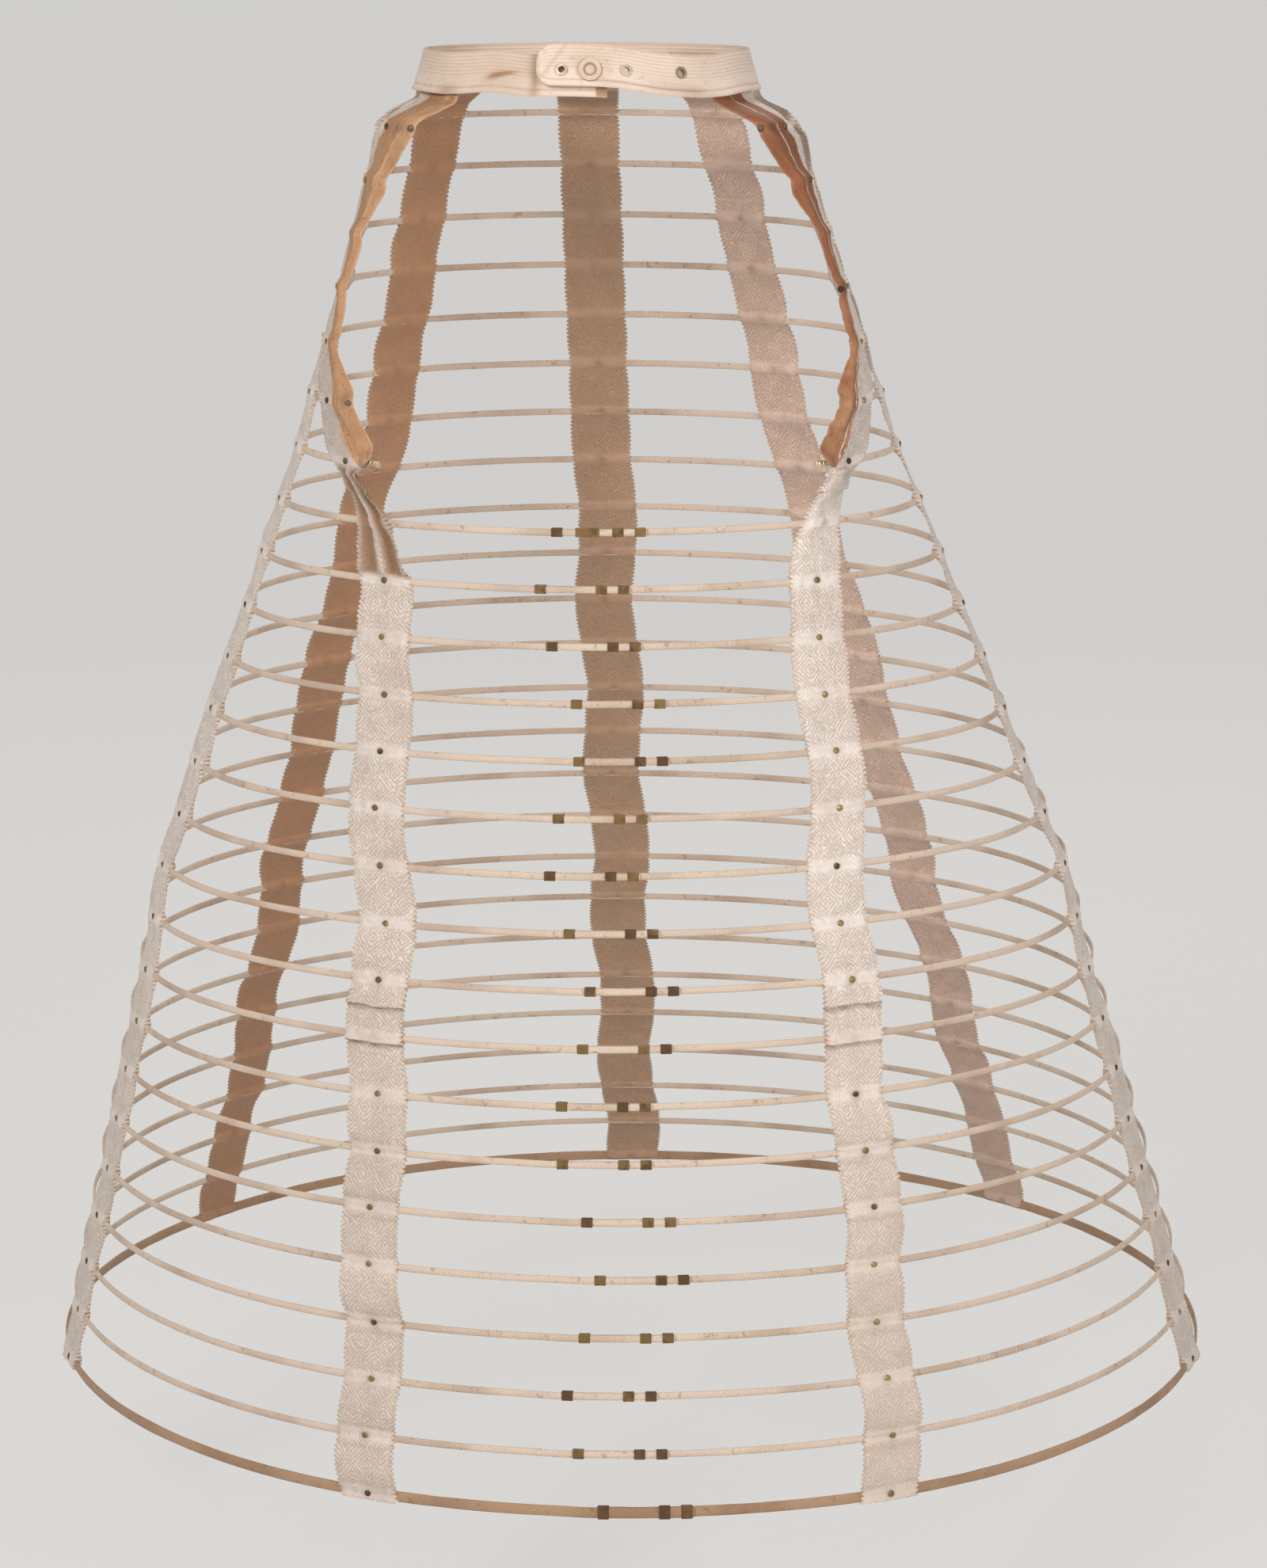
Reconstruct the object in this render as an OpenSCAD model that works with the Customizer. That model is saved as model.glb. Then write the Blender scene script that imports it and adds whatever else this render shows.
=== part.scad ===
// Cage crinoline: covered spring-steel hoops hung in pocketed woven tapes from a waistband.
// The origin is the centre of the waist at the band's mid height, the front is -Y and up is +Z.
// Angles round the cage are measured from the centre front, 0, to the centre back, 180.

/* [Waistband] */
// Half width of the waist at the band's mid height
waist_half_width = 112; // [100:1:125]
// Half depth of the waist at the band's mid height
waist_half_depth = 92; // [84:1:104]
// Height of the band
band_height = 30; // [26:1:36]
// Thickness of the band's folded cloth
band_thickness = 1.4; // [1:0.1:2]
// How far the band's lower edge stands out past its middle
band_flare = 4.5; // [2:0.5:6]
// Reach of the outer tab past the centre front
tab_reach = 31; // [24:1:40]
// Corner radius of the tab's end
tab_corner = 11; // [6:1:12]
// How far the tab rides up where it laps
tab_lift = 3; // [0:0.5:5]
// Reach of the under end past the centre front
under_reach = 14; // [8:1:22]
// How far the under end hangs down where it is lapped
under_drop = 4; // [0:0.5:6]
// Air between the lapped ends
lap_air = 1.4; // [1.2:0.1:2.2]

/* [Closure] */
// Distances of the eyelets from the centre front
eyelet_places = [-15, 26, 65]; // [-18:1:70]
// Bore of an eyelet
eyelet_bore = 4.6; // [3.6:0.2:5]
// Diameter of an eyelet's flange
eyelet_flange = 8; // [7:0.2:9]
// Wall of an eyelet's barrel
eyelet_wall = 0.4; // [0.3:0.1:0.6]
// Distance of the ring button from the centre front
button_place = 3; // [0:1:6]
// Diameter of the ring button
button_diameter = 15; // [12:1:18]
// Thickness of the ring button
button_thickness = 1.8; // [1.4:0.2:2.4]

/* [Hoops] */
// Half hoops that end at the front opening
half_hoops = 7; // [6:1:7]
// Full hoops below the front opening
full_hoops = 18; // [14:1:18]
// Drop from the band's mid height to the top hoop
top_drop = 36; // [34:1:40]
// Drop from each hoop to the next
hoop_pitch = 36; // [32:1:40]
// Height of a covered hoop's section
hoop_height = 4.5; // [3.5:0.1:5.5]
// Height of the hem hoop's section
hem_hoop_height = 7; // [5:0.1:8]
// Thickness of a covered hoop
hoop_thickness = 1.8; // [1.4:0.1:2.2]
// Bevel of a hoop's edges, through its thickness
hoop_bevel_in = 0.4; // [0.2:0.1:0.6]
// Bevel of a hoop's edges, down its face
hoop_bevel_up = 0.8; // [0.4:0.1:1.2]
// Length of the lap that joins a hoop's ends
lap_length = 62; // [50:1:76]
// How far a lap's two covers press into each other
lap_bite = 0.1; // [0.05:0.05:0.2]
// How far the laps wander from the centre front
lap_wander = 12; // [0:1:16]

/* [Outline] */
// Half width at the top hoop
top_half_width = 139; // [134:1:148]
// Half width at the lowest half hoop
hip_half_width = 203; // [193:1:213]
// Half width at the knee hoop
knee_half_width = 314; // [300:1:330]
// Half width at the hem
hem_half_width = 407; // [387:1:422]
// Which hoop from the top is the knee hoop
knee_hoop = 14; // [11:1:16]
// Reach to the front at the top hoop
top_front = 127; // [120:1:134]
// Reach to the front at the hem
hem_front = 325; // [305:1:340]
// Reach to the back at the top hoop
top_back = 125; // [118:1:134]
// Reach to the back at the hem
hem_back = 550; // [520:1:570]
// Share of the back's flare that is gathered low down
back_curve = 0.55; // [0.3:0.05:0.7]
// How far the hem sways to the side
hem_sway = 30; // [-40:1:40]

/* [Tapes] */
// Width of a tape
tape_width = 40; // [34:1:44]
// Thickness of each of a tape's two layers
tape_layer = 0.6; // [0.4:0.1:0.8]
// Room left round a hoop in its pocket
pocket_clearance = 0.3; // [0.25:0.05:0.5]
// Height over which a pocket closes above and below its hoop
pocket_taper = 5; // [4:0.5:7]
// Angle of the front tapes at the second full hoop
front_top_angle = 33.5; // [29:0.5:37]
// Angle of the front tapes from the knee hoop down
front_low_angle = 26; // [23:0.5:29]
// Angle of the front tapes where the opening is widest
opening_angle = 81; // [74:1:82]
// Angle of the front tapes at the waistband
front_waist_angle = 60; // [56:1:63]
// Rate at which the opening closes towards the waist
opening_lean = 1.7; // [1.2:0.1:2]
// Angle of the side tapes at the top
side_top_angle = 100; // [99:1:105]
// Angles of the left side tape at the end of the opening, at the knee hoop, under it and at the hem
side_left_angles = [84, 76, 74, 77]; // [66:0.5:90]
// Angles of the right side tape at the same hoops
side_right_angles = [86, 77, 75, 76]; // [66:0.5:90]
// Angle of the slanting back tapes from the knee hoop up
back_top_angle = 140; // [134:0.5:146]
// Angle of the slanting back tapes at the hem
back_hem_angle = 128; // [122:0.5:132]
// How far the slanting back tapes are pulled round to the right
back_skew = 3; // [-4:0.5:4]
// How far a tape wanders sideways from hoop to hoop
tape_wander = 3; // [0:0.5:5]
// How far a tape bows between hoops
tape_slack = 4; // [0:0.5:6]
// How far a tape is tucked up behind the waistband
tape_tuck = 22; // [14:1:24]

/* [Facings] */
// Thickness of the leather
facing_thickness = 1; // [0.7:0.1:1.4]
// Width of the leather on the tape's outer face at the waistband
facing_outer_top = 34; // [28:1:36]
// Width of the leather on the tape's outer face where the opening is widest
facing_outer_low = 9; // [6:1:12]
// Width of the leather's free flap below the waistband
facing_flap_top = 18; // [15:1:22]
// Width of the flap where it is narrowest
facing_flap_mid = 6.5; // [5.5:0.5:9]
// Width of the flap at its cupped lower end
facing_flap_low = 14; // [10:1:17]
// Angle that the flap is turned in by
facing_turn = 65; // [50:1:75]
// Angle that the flap is turned in by behind the waistband
facing_waist_turn = 20; // [18:1:28]
// Air between a facing and its tape's outer face
facing_gap = 0.5; // [0.4:0.05:0.8]
// Air between soft layers
soft_gap = 0.3; // [0.2:0.05:0.5]

/* [Fittings] */
// Diameter of a stud's head
stud_diameter = 4.4; // [3.6:0.2:5]
// Height of a stud's head
stud_height = 1.2; // [0.8:0.1:1.6]
// Length of a crimp clip along its hoop
clip_length = 7; // [5:0.5:9]
// Length of the joining plate on the highest full hoop
plate_length = 15; // [12:0.5:20]
// Wall of a clip
clip_wall = 0.4; // [0.3:0.1:0.6]
// Room between a clip and the hoop in it
clip_clearance = 0.1; // [0.05:0.05:0.2]
// How far a ferrule stands past the tape's edge
ferrule_length = 8; // [6:0.5:10]
// Air between a ferrule and the tape's edge
ferrule_gap = 1; // [0.8:0.1:2]

/* [Hidden] */
$fn = 180;
fitting_fn = 24;
hoop_count = half_hoops + full_hoops;
hem = hoop_count - 1;
band_slope = band_flare / (band_height / 2);
band_tilt = atan(band_slope);
band_half_normal = band_thickness / 2 * cos(band_tilt);
band_step = 5;
// Angles past the centre front over which the lapped ends come together again
lap_ease = 18;
// Hoops over which the front tapes swing out from the full hoops to the opening
opening_swing = 5;
opening_swing_start = half_hoops + 1;
// Hoops below the waist over which the opening is still widening
opening_lean_hoops = 3;
// Steps of the waves that scatter laps, tapes and slack
lap_wave = 77;
wander_wave = 97;
slack_wave = 131;
tape_phase = 61;
// Places of the clips on a lap, as shares of its length from the middle
clip_places = [-0.43, 0.2, 0.43];
// Outline of a stud's head, as shares of its radius and height
stud_profile = [[1, 0], [1, 0.4], [0.75, 0.85], [0.3, 1]];
// Share of the way to the lowest half hoop at which the facings end
facing_end = 0.7;
// Half hoops at which a stud goes through the facing, on the left and on the right
facing_stud_hoops = [[0, half_hoops - 2], [0, half_hoops - 4]];
// Hoops under the knee hoop over which the side tapes turn to the front
side_turn_hoops = 3;
// How far a half hoop stops short of the tape's edge
hoop_end_inset = 2;

TAPE_NAMES = ["front_left", "front_right", "side_left", "side_right",
              "back_left", "back_right", "back_centre"];
TAPES = [for (t = [0:len(TAPE_NAMES) - 1]) t];
FRONT_TAPES = [0, 1];
HALF_HOOPS = [for (k = [0:half_hoops - 1]) k];
FULL_HOOPS = [for (k = [half_hoops:hem]) k];

// Node names
function two_digits(n) = n < 10 ? str("0", n) : str(n);
function half_hoop_name(k) = str("half_hoop_", k + 1);
function full_hoop_name(k) = str("hoop_", two_digits(k - half_hoops + 1));
function tape_name(t) = str("tape_", TAPE_NAMES[t]);
function tape_studs_name(t) = str("tape_studs_", TAPE_NAMES[t]);
function facing_name(t) = str("facing_", TAPE_NAMES[t]);
function facing_studs_name(t) = str("facing_studs_", TAPE_NAMES[t]);

// Small helpers
function degrees(length, radius) = length / radius * 180 / PI;
function clamp(x) = min(1, max(0, x));
function smooth(x) = let(c = clamp(x)) c * c * (3 - 2 * c);
function mix(a, b, share) = a + (b - a) * share;
function sagitta(chord, radius) = chord * chord / (8 * radius);

// Plan of a hoop: an oval of four arcs, as [centre x, centre y, half width, half depth]
function drop_share(k) = k / hem;
function hoop_z(k) = -(top_drop + k * hoop_pitch);
function section_height(k) = k == hem ? hem_hoop_height : hoop_height;
function half_width(k) = lookup(k, [
    [0, top_half_width],
    [half_hoops - 1, hip_half_width],
    [knee_hoop, knee_half_width],
    [hem, hem_half_width]
]);
function front_reach(k) = mix(top_front, hem_front, drop_share(k));
function back_reach(k) =
    let(share = drop_share(k))
    mix(top_back, hem_back, share * (1 - back_curve + back_curve * share));
function hoop_oval(k) = [
    hem_sway * drop_share(k),
    (back_reach(k) - front_reach(k)) / 2,
    half_width(k),
    (back_reach(k) + front_reach(k)) / 2
];
function waist_oval(z) = [
    0,
    0,
    waist_half_width - band_slope * z,
    waist_half_depth - band_slope * z
];

// The four arcs join where the oval faces 45 degrees off its axes, so each turns through 90.
// Their radii are whole hundredths, so that neighbouring arcs meet without a step.
function hundredth(x) = round(100 * x) / 100;
function oval_excess(oval) = (oval[2] - oval[3]) / (2 - sqrt(2));
function side_radius(oval) = hundredth(oval[2] - oval_excess(oval));
function end_radius(oval) = hundredth(oval[3] + oval_excess(oval));
function arc_shift(oval) = (end_radius(oval) - side_radius(oval)) * sin(45);
function on_side(angle) = angle > 45 && angle < 135;
function arc_radius(oval, angle) = on_side(angle) ? side_radius(oval) : end_radius(oval);
function arc_centre(oval, angle, side) =
    let(shift = arc_shift(oval))
    [oval[0], oval[1]] + (on_side(angle) ? [side * shift, 0] : [0, angle <= 45 ? shift : -shift]);
function outward(angle, side) = [side * sin(angle), -cos(angle), 0];
function across(angle, side) = [cos(angle), side * sin(angle), 0];
function oval_point(oval, angle, side, z) =
    let(centre = arc_centre(oval, angle, side))
    [centre[0], centre[1], z] + arc_radius(oval, angle) * outward(angle, side);

// A frame on the cage is [origin, across, outward], with places given as across, up and out
function place(frame, u, z, n) = frame[0] + u * frame[1] + [0, 0, z] + n * frame[2];

// Course of the tapes
function tape_side(t) = t % 2 == 0 ? -1 : 1;
function front_lower_angle(k) =
    lookup(k, [[opening_swing_start, front_top_angle], [knee_hoop, front_low_angle]]);
function front_tape_angle(k) =
    mix(front_lower_angle(k), opening_angle, smooth((opening_swing_start - k) / opening_swing))
    - opening_lean * pow(max(0, opening_lean_hoops - k), 2);
function back_tape_angle(t, k) =
    lookup(k, [[knee_hoop, back_top_angle], [hem, back_hem_angle]]) + back_skew * tape_side(t);
function side_tape_angle(t, k) =
    let(turns = tape_side(t) < 0 ? side_left_angles : side_right_angles)
    lookup(k, [
        [opening_lean_hoops, side_top_angle],
        [half_hoops - 2, turns[0]],
        [knee_hoop, turns[1]],
        [knee_hoop + side_turn_hoops, turns[2]],
        [hem, turns[3]]
    ]);
function tape_base_angle(t, k) =
    t < 2 ? front_tape_angle(k) :
    t < 4 ? side_tape_angle(t, k) :
    t < 6 ? back_tape_angle(t, k) : 180;
function tape_waist_angle(t) = t < 2 ? front_waist_angle : tape_base_angle(t, 0);
function wander(t, k) = k > half_hoops ? tape_wander * sin(wander_wave * k + tape_phase * t) : 0;
function tape_angle(t, k) =
    let(angle = tape_base_angle(t, k))
    angle + degrees(wander(t, k), arc_radius(hoop_oval(k), angle));
function crossing_radius(t, k) = arc_radius(hoop_oval(k), tape_angle(t, k));
function crossing_frame(t, k) =
    let(angle = tape_angle(t, k), side = tape_side(t))
    [oval_point(hoop_oval(k), angle, side, hoop_z(k)), across(angle, side), outward(angle, side)];
waist_radius = min(side_radius(waist_oval(0)), end_radius(waist_oval(0)));
// How far an eyelet's inner flange stands behind the band
eyelet_seat = band_half_normal + soft_gap + clip_clearance;
eyelet_back = eyelet_seat - band_half_normal + eyelet_wall;
function tape_inset(t) =
    band_thickness / 2 + soft_gap + tape_layer + sagitta(tape_width, waist_radius)
    + (t < 2 ? facing_thickness + facing_gap + eyelet_back : 0);
function waist_frame(t, z) =
    let(angle = tape_waist_angle(t), side = tape_side(t), out = outward(angle, side))
    [oval_point(waist_oval(z), angle, side, z) - tape_inset(t) * out, across(angle, side), out];
band_bottom = -band_height / 2;
tape_top = band_bottom + tape_tuck;
tape_exit = band_bottom - under_drop - soft_gap;

// Pockets: the tunnel is straight, so it leaves room for the hoop's curve across the tape
function pocket_sag(t, k) = sagitta(tape_width, crossing_radius(t, k));
function pocket_mid(t, k) = -pocket_sag(t, k) / 2;
function pocket_half(t, k) = hoop_thickness / 2 + pocket_clearance + pocket_sag(t, k) / 2;
function pocket_rise(k) = section_height(k) / 2 + pocket_clearance;
function pocket_face(t, k) = pocket_mid(t, k) + pocket_half(t, k) + tape_layer;

// How the tape's course leans across and outward at a crossing, for each unit of height
function course_above(t, k) = k == 0 ? waist_frame(t, tape_exit)[0] : crossing_frame(t, k - 1)[0];
function course_below(t, k) = crossing_frame(t, min(k + 1, hem))[0];
function course_lean(t, k, axis) =
    let(run = course_above(t, k) - course_below(t, k))
    run * crossing_frame(t, k)[axis] / run[2];

// Corners of a tape's section: outer left, outer right, inner right, inner left
function tape_corners(frame, u, z, out, in) =
    let(half = tape_width / 2)
    [
        place(frame, u - half, z, out),
        place(frame, u + half, z, out),
        place(frame, u + half, z, in),
        place(frame, u - half, z, in)
    ];
function closed_corners(t, k, z) =
    let(mid = pocket_mid(t, k) + z * course_lean(t, k, 2))
    tape_corners(
        crossing_frame(t, k), z * course_lean(t, k, 1), z, mid + tape_layer, mid - tape_layer
    );
function open_corners(t, k, z, half) =
    let(mid = pocket_mid(t, k))
    tape_corners(crossing_frame(t, k), 0, z, mid + half, mid - half);
function pocket_points(t, k) =
    let(rise = pocket_rise(k), reach = rise + pocket_taper, half = pocket_half(t, k))
    concat(
        closed_corners(t, k, reach),
        open_corners(t, k, rise, half + tape_layer),
        open_corners(t, k, rise, half),
        open_corners(t, k, -rise, half + tape_layer),
        open_corners(t, k, -rise, half),
        closed_corners(t, k, k == hem ? -rise - tape_layer : -reach)
    );
// The front tapes are held flat by their facings
function slack(t, k) =
    t < 2 && k < half_hoops ? 0 : tape_slack / 2 * (1 + sin(slack_wave * k + tape_phase * t));
function slack_points(t, k) =
    let(
        bow = slack(t, k) * crossing_frame(t, k)[2],
        above = closed_corners(t, k, -pocket_rise(k) - pocket_taper),
        below = closed_corners(t, k + 1, pocket_rise(k + 1) + pocket_taper)
    )
    [for (i = [0:3]) (above[i] + below[i]) / 2 + bow];
function tape_points(t) = concat(
    tape_corners(waist_frame(t, tape_top), 0, 0, tape_layer, -tape_layer),
    tape_corners(waist_frame(t, tape_exit), 0, 0, tape_layer, -tape_layer),
    [for (k = [0:hem]) each concat(pocket_points(t, k), k < hem ? slack_points(t, k) : [])]
);

// Faces between the rows of points
row = 4;
pocket_rows = 6;
crossing_size = row * (pocket_rows + 1);
function quad(a, b, c, d) = [[a, b, c], [a, c, d]];
// Both faces of a twisted strip are split along the same diagonal, so its thickness holds
function strip_quad(upper, lower, i, n, flip = false) =
    let(j = (i + 1) % n, a = upper + i, b = upper + j, c = lower + j, d = lower + i)
    (i < n / 2) == flip ? quad(b, c, d, a) : quad(a, b, c, d);
function sleeve(upper, lower, flip) =
    [for (i = [0:row - 1]) each strip_quad(upper, lower, i, row, flip)];
// A tape that twists from one angle to another bows inward along this diagonal
function twist_flip(t, above, below) = (below > above) != (tape_side(t) > 0);
function pocket_side(a, b, tb, c, tc, d, f, g) = concat(
    [
        [a + f, a + g, tb + g], [a + g, b + g, tb + g], [a + f, tb + g, tb + f], [a + f, tb + f, b + f],
        [c + f, tc + f, d + f], [tc + f, tc + g, d + f], [tc + g, d + g, d + f], [tc + g, c + g, d + g]
    ],
    quad(b + f, tb + f, tc + f, c + f),
    quad(tb + g, b + g, c + g, tc + g)
);
function pocket_skin(a, b, c, d, i) = concat(
    quad(a + i, a + i + 1, b + i + 1, b + i),
    quad(b + i, b + i + 1, c + i + 1, c + i),
    quad(c + i, c + i + 1, d + i + 1, d + i)
);
function pocket_tunnel(tb, tc) = concat(
    quad(tb, tb + 1, tb + 2, tb + 3),
    quad(tc + 3, tc + 2, tc + 1, tc),
    quad(tb + 1, tb, tc, tc + 1),
    quad(tb + 3, tb + 2, tc + 2, tc + 3)
);
function pocket_faces(a) =
    let(b = a + row, tb = b + row, c = tb + row, tc = c + row, d = tc + row)
    concat(
        pocket_skin(a, b, c, d, 0),
        pocket_skin(a, b, c, d, 2),
        pocket_side(a, b, tb, c, tc, d, 1, 2),
        pocket_side(a, b, tb, c, tc, d, 3, 0),
        pocket_tunnel(tb, tc)
    );
function slack_faces(t, k, slack_row) =
    let(flip = twist_flip(t, tape_angle(t, k), tape_angle(t, k + 1)))
    concat(sleeve(slack_row - row, slack_row, flip), sleeve(slack_row, slack_row + row, flip));
function tape_faces(t) =
    let(first = 2 * row, last = first + crossing_size * hem + row * (pocket_rows - 1))
    concat(
        quad(3, 2, 1, 0),
        sleeve(0, row, false),
        sleeve(row, first, twist_flip(t, tape_waist_angle(t), tape_angle(t, 0))),
        [for (k = [0:hem]) each pocket_faces(first + crossing_size * k)],
        [for (k = [0:hem - 1]) each slack_faces(t, k, first + crossing_size * k + row * pocket_rows)],
        quad(last, last + 1, last + 2, last + 3)
    );

// A closed strip through sections that each have the same number of corners
module loft(sections) {
    n = len(sections[0]);
    last = n * (len(sections) - 1);
    polyhedron(
        points = [for (section = sections) each section],
        faces = concat(
            [for (i = [1:n - 2]) [0, i + 1, i]],
            [
                for (s = [0:len(sections) - 2], i = [0:n - 1])
                    each strip_quad(s * n, (s + 1) * n, i, n)
            ],
            [for (i = [1:n - 2]) [last, last + i, last + i + 1]]
        )
    );
}

// Waistband: a strip once round the waist, with its ends lapped at the front
function front_turn(distance) = degrees(distance, end_radius(waist_oval(0)));
tab_start = -front_turn(tab_reach);
under_end = 360 + front_turn(under_reach);
function folded(turn) = turn > 180 ? turn - 360 : turn;
function lap_share(turn) = 1 - smooth((turn - front_turn(under_reach)) / lap_ease);
function under_share(turn) = smooth((turn - (360 - front_turn(tab_reach) - lap_ease)) / lap_ease);
function tab_half_height(turn) =
    let(
        along = (turn - tab_start) * PI / 180 * end_radius(waist_oval(0)),
        inside = tab_corner - min(along, tab_corner)
    )
    band_height / 2 - tab_corner + sqrt(tab_corner * tab_corner - inside * inside);
function band_mid(turn, z) =
    let(angle = folded(turn), side = angle < 0 ? -1 : 1)
    oval_point(waist_oval(z), abs(angle), side, z)
    + lap_share(turn) * [0, 0, tab_lift]
    - under_share(turn) * [0, 0, under_drop]
    + lap_share(turn) * (band_thickness + lap_air) * outward(abs(angle), side);
function band_section(turn) =
    let(
        half = tab_half_height(turn),
        angle = folded(turn),
        out = band_thickness / 2 * outward(abs(angle), angle < 0 ? -1 : 1),
        top = band_mid(turn, half),
        bottom = band_mid(turn, -half)
    )
    [top + out, top - out, bottom - out, bottom + out];
tab_end_steps = [0, 0.08, 0.3, 0.6];
tab_end_turns = [for (share = tab_end_steps) tab_start + share * front_turn(tab_corner)];
band_first_turn = tab_start + front_turn(tab_corner);
band_steps = round((under_end - band_first_turn) / band_step);
band_turns = concat(
    tab_end_turns,
    [for (i = [0:band_steps]) mix(band_first_turn, under_end, i / band_steps)]
);

// Stands its children on the band's face, with their own Z outward
module on_band(distance, out) {
    turn = front_turn(distance);
    reach = front_turn(eyelet_flange / 2);
    run = band_mid(turn + reach, 0) - band_mid(turn - reach, 0);
    heading = atan2(run[1], run[0]);
    normal = [0, 0, sin(band_tilt)] + cos(band_tilt) * [sin(heading), -cos(heading), 0];
    translate(band_mid(turn, 0) + out * normal) rotate([90 - band_tilt, 0, heading]) children();
}

eyelet_barrel = eyelet_bore / 2 + eyelet_wall;
module waistband() {
    hole = eyelet_barrel + clip_clearance;
    color("antiquewhite")
        difference() {
            loft([for (turn = band_turns) band_section(turn)]);
            for (distance = eyelet_places)
                on_band(distance, 0)
                    cylinder(h = band_thickness + lap_air, r = hole, center = true);
        }
}

module waistband_eyelets() {
    color("darkgoldenrod")
        for (distance = eyelet_places)
            on_band(distance, 0)
                rotate_extrude($fn = fitting_fn)
                    polygon([
                        [eyelet_bore / 2, -eyelet_seat - eyelet_wall],
                        [eyelet_flange / 2, -eyelet_seat - eyelet_wall],
                        [eyelet_flange / 2, -eyelet_seat],
                        [eyelet_barrel, -eyelet_seat],
                        [eyelet_barrel, eyelet_seat],
                        [eyelet_flange / 2, eyelet_seat],
                        [eyelet_flange / 2, eyelet_seat + eyelet_wall],
                        [eyelet_bore / 2, eyelet_seat + eyelet_wall]
                    ]);
}

// A flat ring button with cloth across it, worn to the shape of its ring
module waistband_button() {
    ring = button_thickness / 2;
    color("wheat")
        on_band(button_place, band_half_normal + soft_gap) {
            translate([0, 0, ring])
                rotate_extrude($fn = fitting_fn)
                    translate([button_diameter / 2 - ring, 0])
                        circle(ring);
            cylinder(h = ring, r = button_diameter / 2 - ring, $fn = fitting_fn);
        }
}

// A hoop's section: a flat strip with bevelled edges
module hoop_section(height) {
    x = hoop_thickness / 2;
    y = height / 2;
    flat_x = x - hoop_bevel_in;
    flat_y = y - hoop_bevel_up;
    polygon([
        [x, -flat_y], [x, flat_y], [flat_x, y], [-flat_x, y],
        [-x, flat_y], [-x, -flat_y], [-flat_x, -y], [flat_x, -y]
    ]);
}

// Stands its children at a quarter's centre, with their X towards the join where the quarter starts
module quarter_frame(oval, quarter) {
    if (quarter == 0)
        translate([oval[0] + arc_shift(oval), oval[1], 0]) rotate([0, 0, -45]) children();
    else
        quarter_frame(oval, quarter - 1)
            rotate([0, 0, 90])
                translate([quarter_radius(oval, quarter - 1) - quarter_radius(oval, quarter), 0, 0])
                    children();
}

// Sweeps a flat section along a hoop, from one bearing to another, both from +X towards the back
function quarter_radius(oval, quarter) = quarter % 2 == 0 ? side_radius(oval) : end_radius(oval);
module along_hoop(k, from, to) {
    oval = hoop_oval(k);
    translate([0, 0, hoop_z(k)])
        for (quarter = [-1:4]) {
            first = 90 * quarter - 45;
            last = first + 90;
            start = max(from, first);
            end = min(to, last);
            from_last = start > first && end == last;
            if (end > start)
                quarter_frame(oval, (quarter + 4) % 4)
                    rotate([0, 0, from_last ? 90 : start - first])
                        rotate_extrude(angle = from_last ? start - end : end - start)
                            translate([quarter_radius(oval, quarter), 0])
                                children();
        }
}

function lap_turn(k, length) = degrees(length, end_radius(hoop_oval(k)));
function lap_centre(k) = 270 + lap_turn(k, lap_wander * sin(lap_wave * k));
lap_offset = hoop_thickness - lap_bite;

// A full hoop: its ends lap at the front, one on the other
module full_hoop(k) {
    half_lap = lap_turn(k, lap_length) / 2;
    color("wheat") {
        along_hoop(k, -45, 315) hoop_section(section_height(k));
        along_hoop(k, lap_centre(k) - half_lap, lap_centre(k) + half_lap)
            translate([lap_offset, 0]) hoop_section(section_height(k));
    }
}

// A half hoop: it runs round the back, from one front tape to the other
function hoop_end_reach(k) =
    tape_width / 2 + (k == half_hoops - 1 ? ferrule_length - clip_wall : -hoop_end_inset);
function half_hoop_start(k) =
    front_tape_angle(k) - degrees(hoop_end_reach(k), crossing_radius(1, k));
module half_hoop(k) {
    start = half_hoop_start(k);
    color("wheat") along_hoop(k, start - 90, 270 - start) hoop_section(section_height(k));
}

// Section of a sheet-metal clip round a hoop's lap
module clip_section(height) {
    inside = [hoop_thickness + lap_offset, height] + 2 * [clip_clearance, clip_clearance];
    translate([lap_offset / 2, 0])
        difference() {
            square(inside + 2 * [clip_wall, clip_wall], center = true);
            square(inside, center = true);
        }
}

module hoop_clip(k, offset, length) {
    middle = lap_centre(k) + lap_turn(k, offset);
    half = lap_turn(k, length) / 2;
    along_hoop(k, middle - half, middle + half) clip_section(section_height(k));
}

module hoop_clips() {
    color("olive") {
        for (k = FULL_HOOPS, share = clip_places)
            hoop_clip(k, share * lap_length, clip_length);
        hoop_clip(half_hoops, (clip_places[0] + clip_places[1]) / 2 * lap_length, plate_length);
    }
}

// Ferrules: capped sleeves on the two ends of the lowest half hoop, which stand free of the tape
module hoop_end_ferrules() {
    k = half_hoops - 1;
    radius = crossing_radius(1, k);
    inside = [hoop_thickness, section_height(k)] + 2 * [clip_clearance, clip_clearance];
    outside = inside + 2 * [clip_wall, clip_wall];
    mouth = front_tape_angle(k) - degrees(tape_width / 2 + ferrule_gap, radius);
    floor_in = half_hoop_start(k) - degrees(clip_clearance, radius);
    floor_out = floor_in - degrees(clip_wall, radius);
    past_mouth = mouth + degrees(clip_wall, radius);
    color("darkgoldenrod") {
        difference() {
            along_hoop(k, floor_out - 90, mouth - 90) square(outside, center = true);
            along_hoop(k, floor_in - 90, past_mouth - 90) square(inside, center = true);
        }
        difference() {
            along_hoop(k, 270 - mouth, 270 - floor_out) square(outside, center = true);
            along_hoop(k, 270 - past_mouth, 270 - floor_in) square(inside, center = true);
        }
    }
}

module tape(t) {
    color("cornsilk") polyhedron(points = tape_points(t), faces = tape_faces(t));
}

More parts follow.
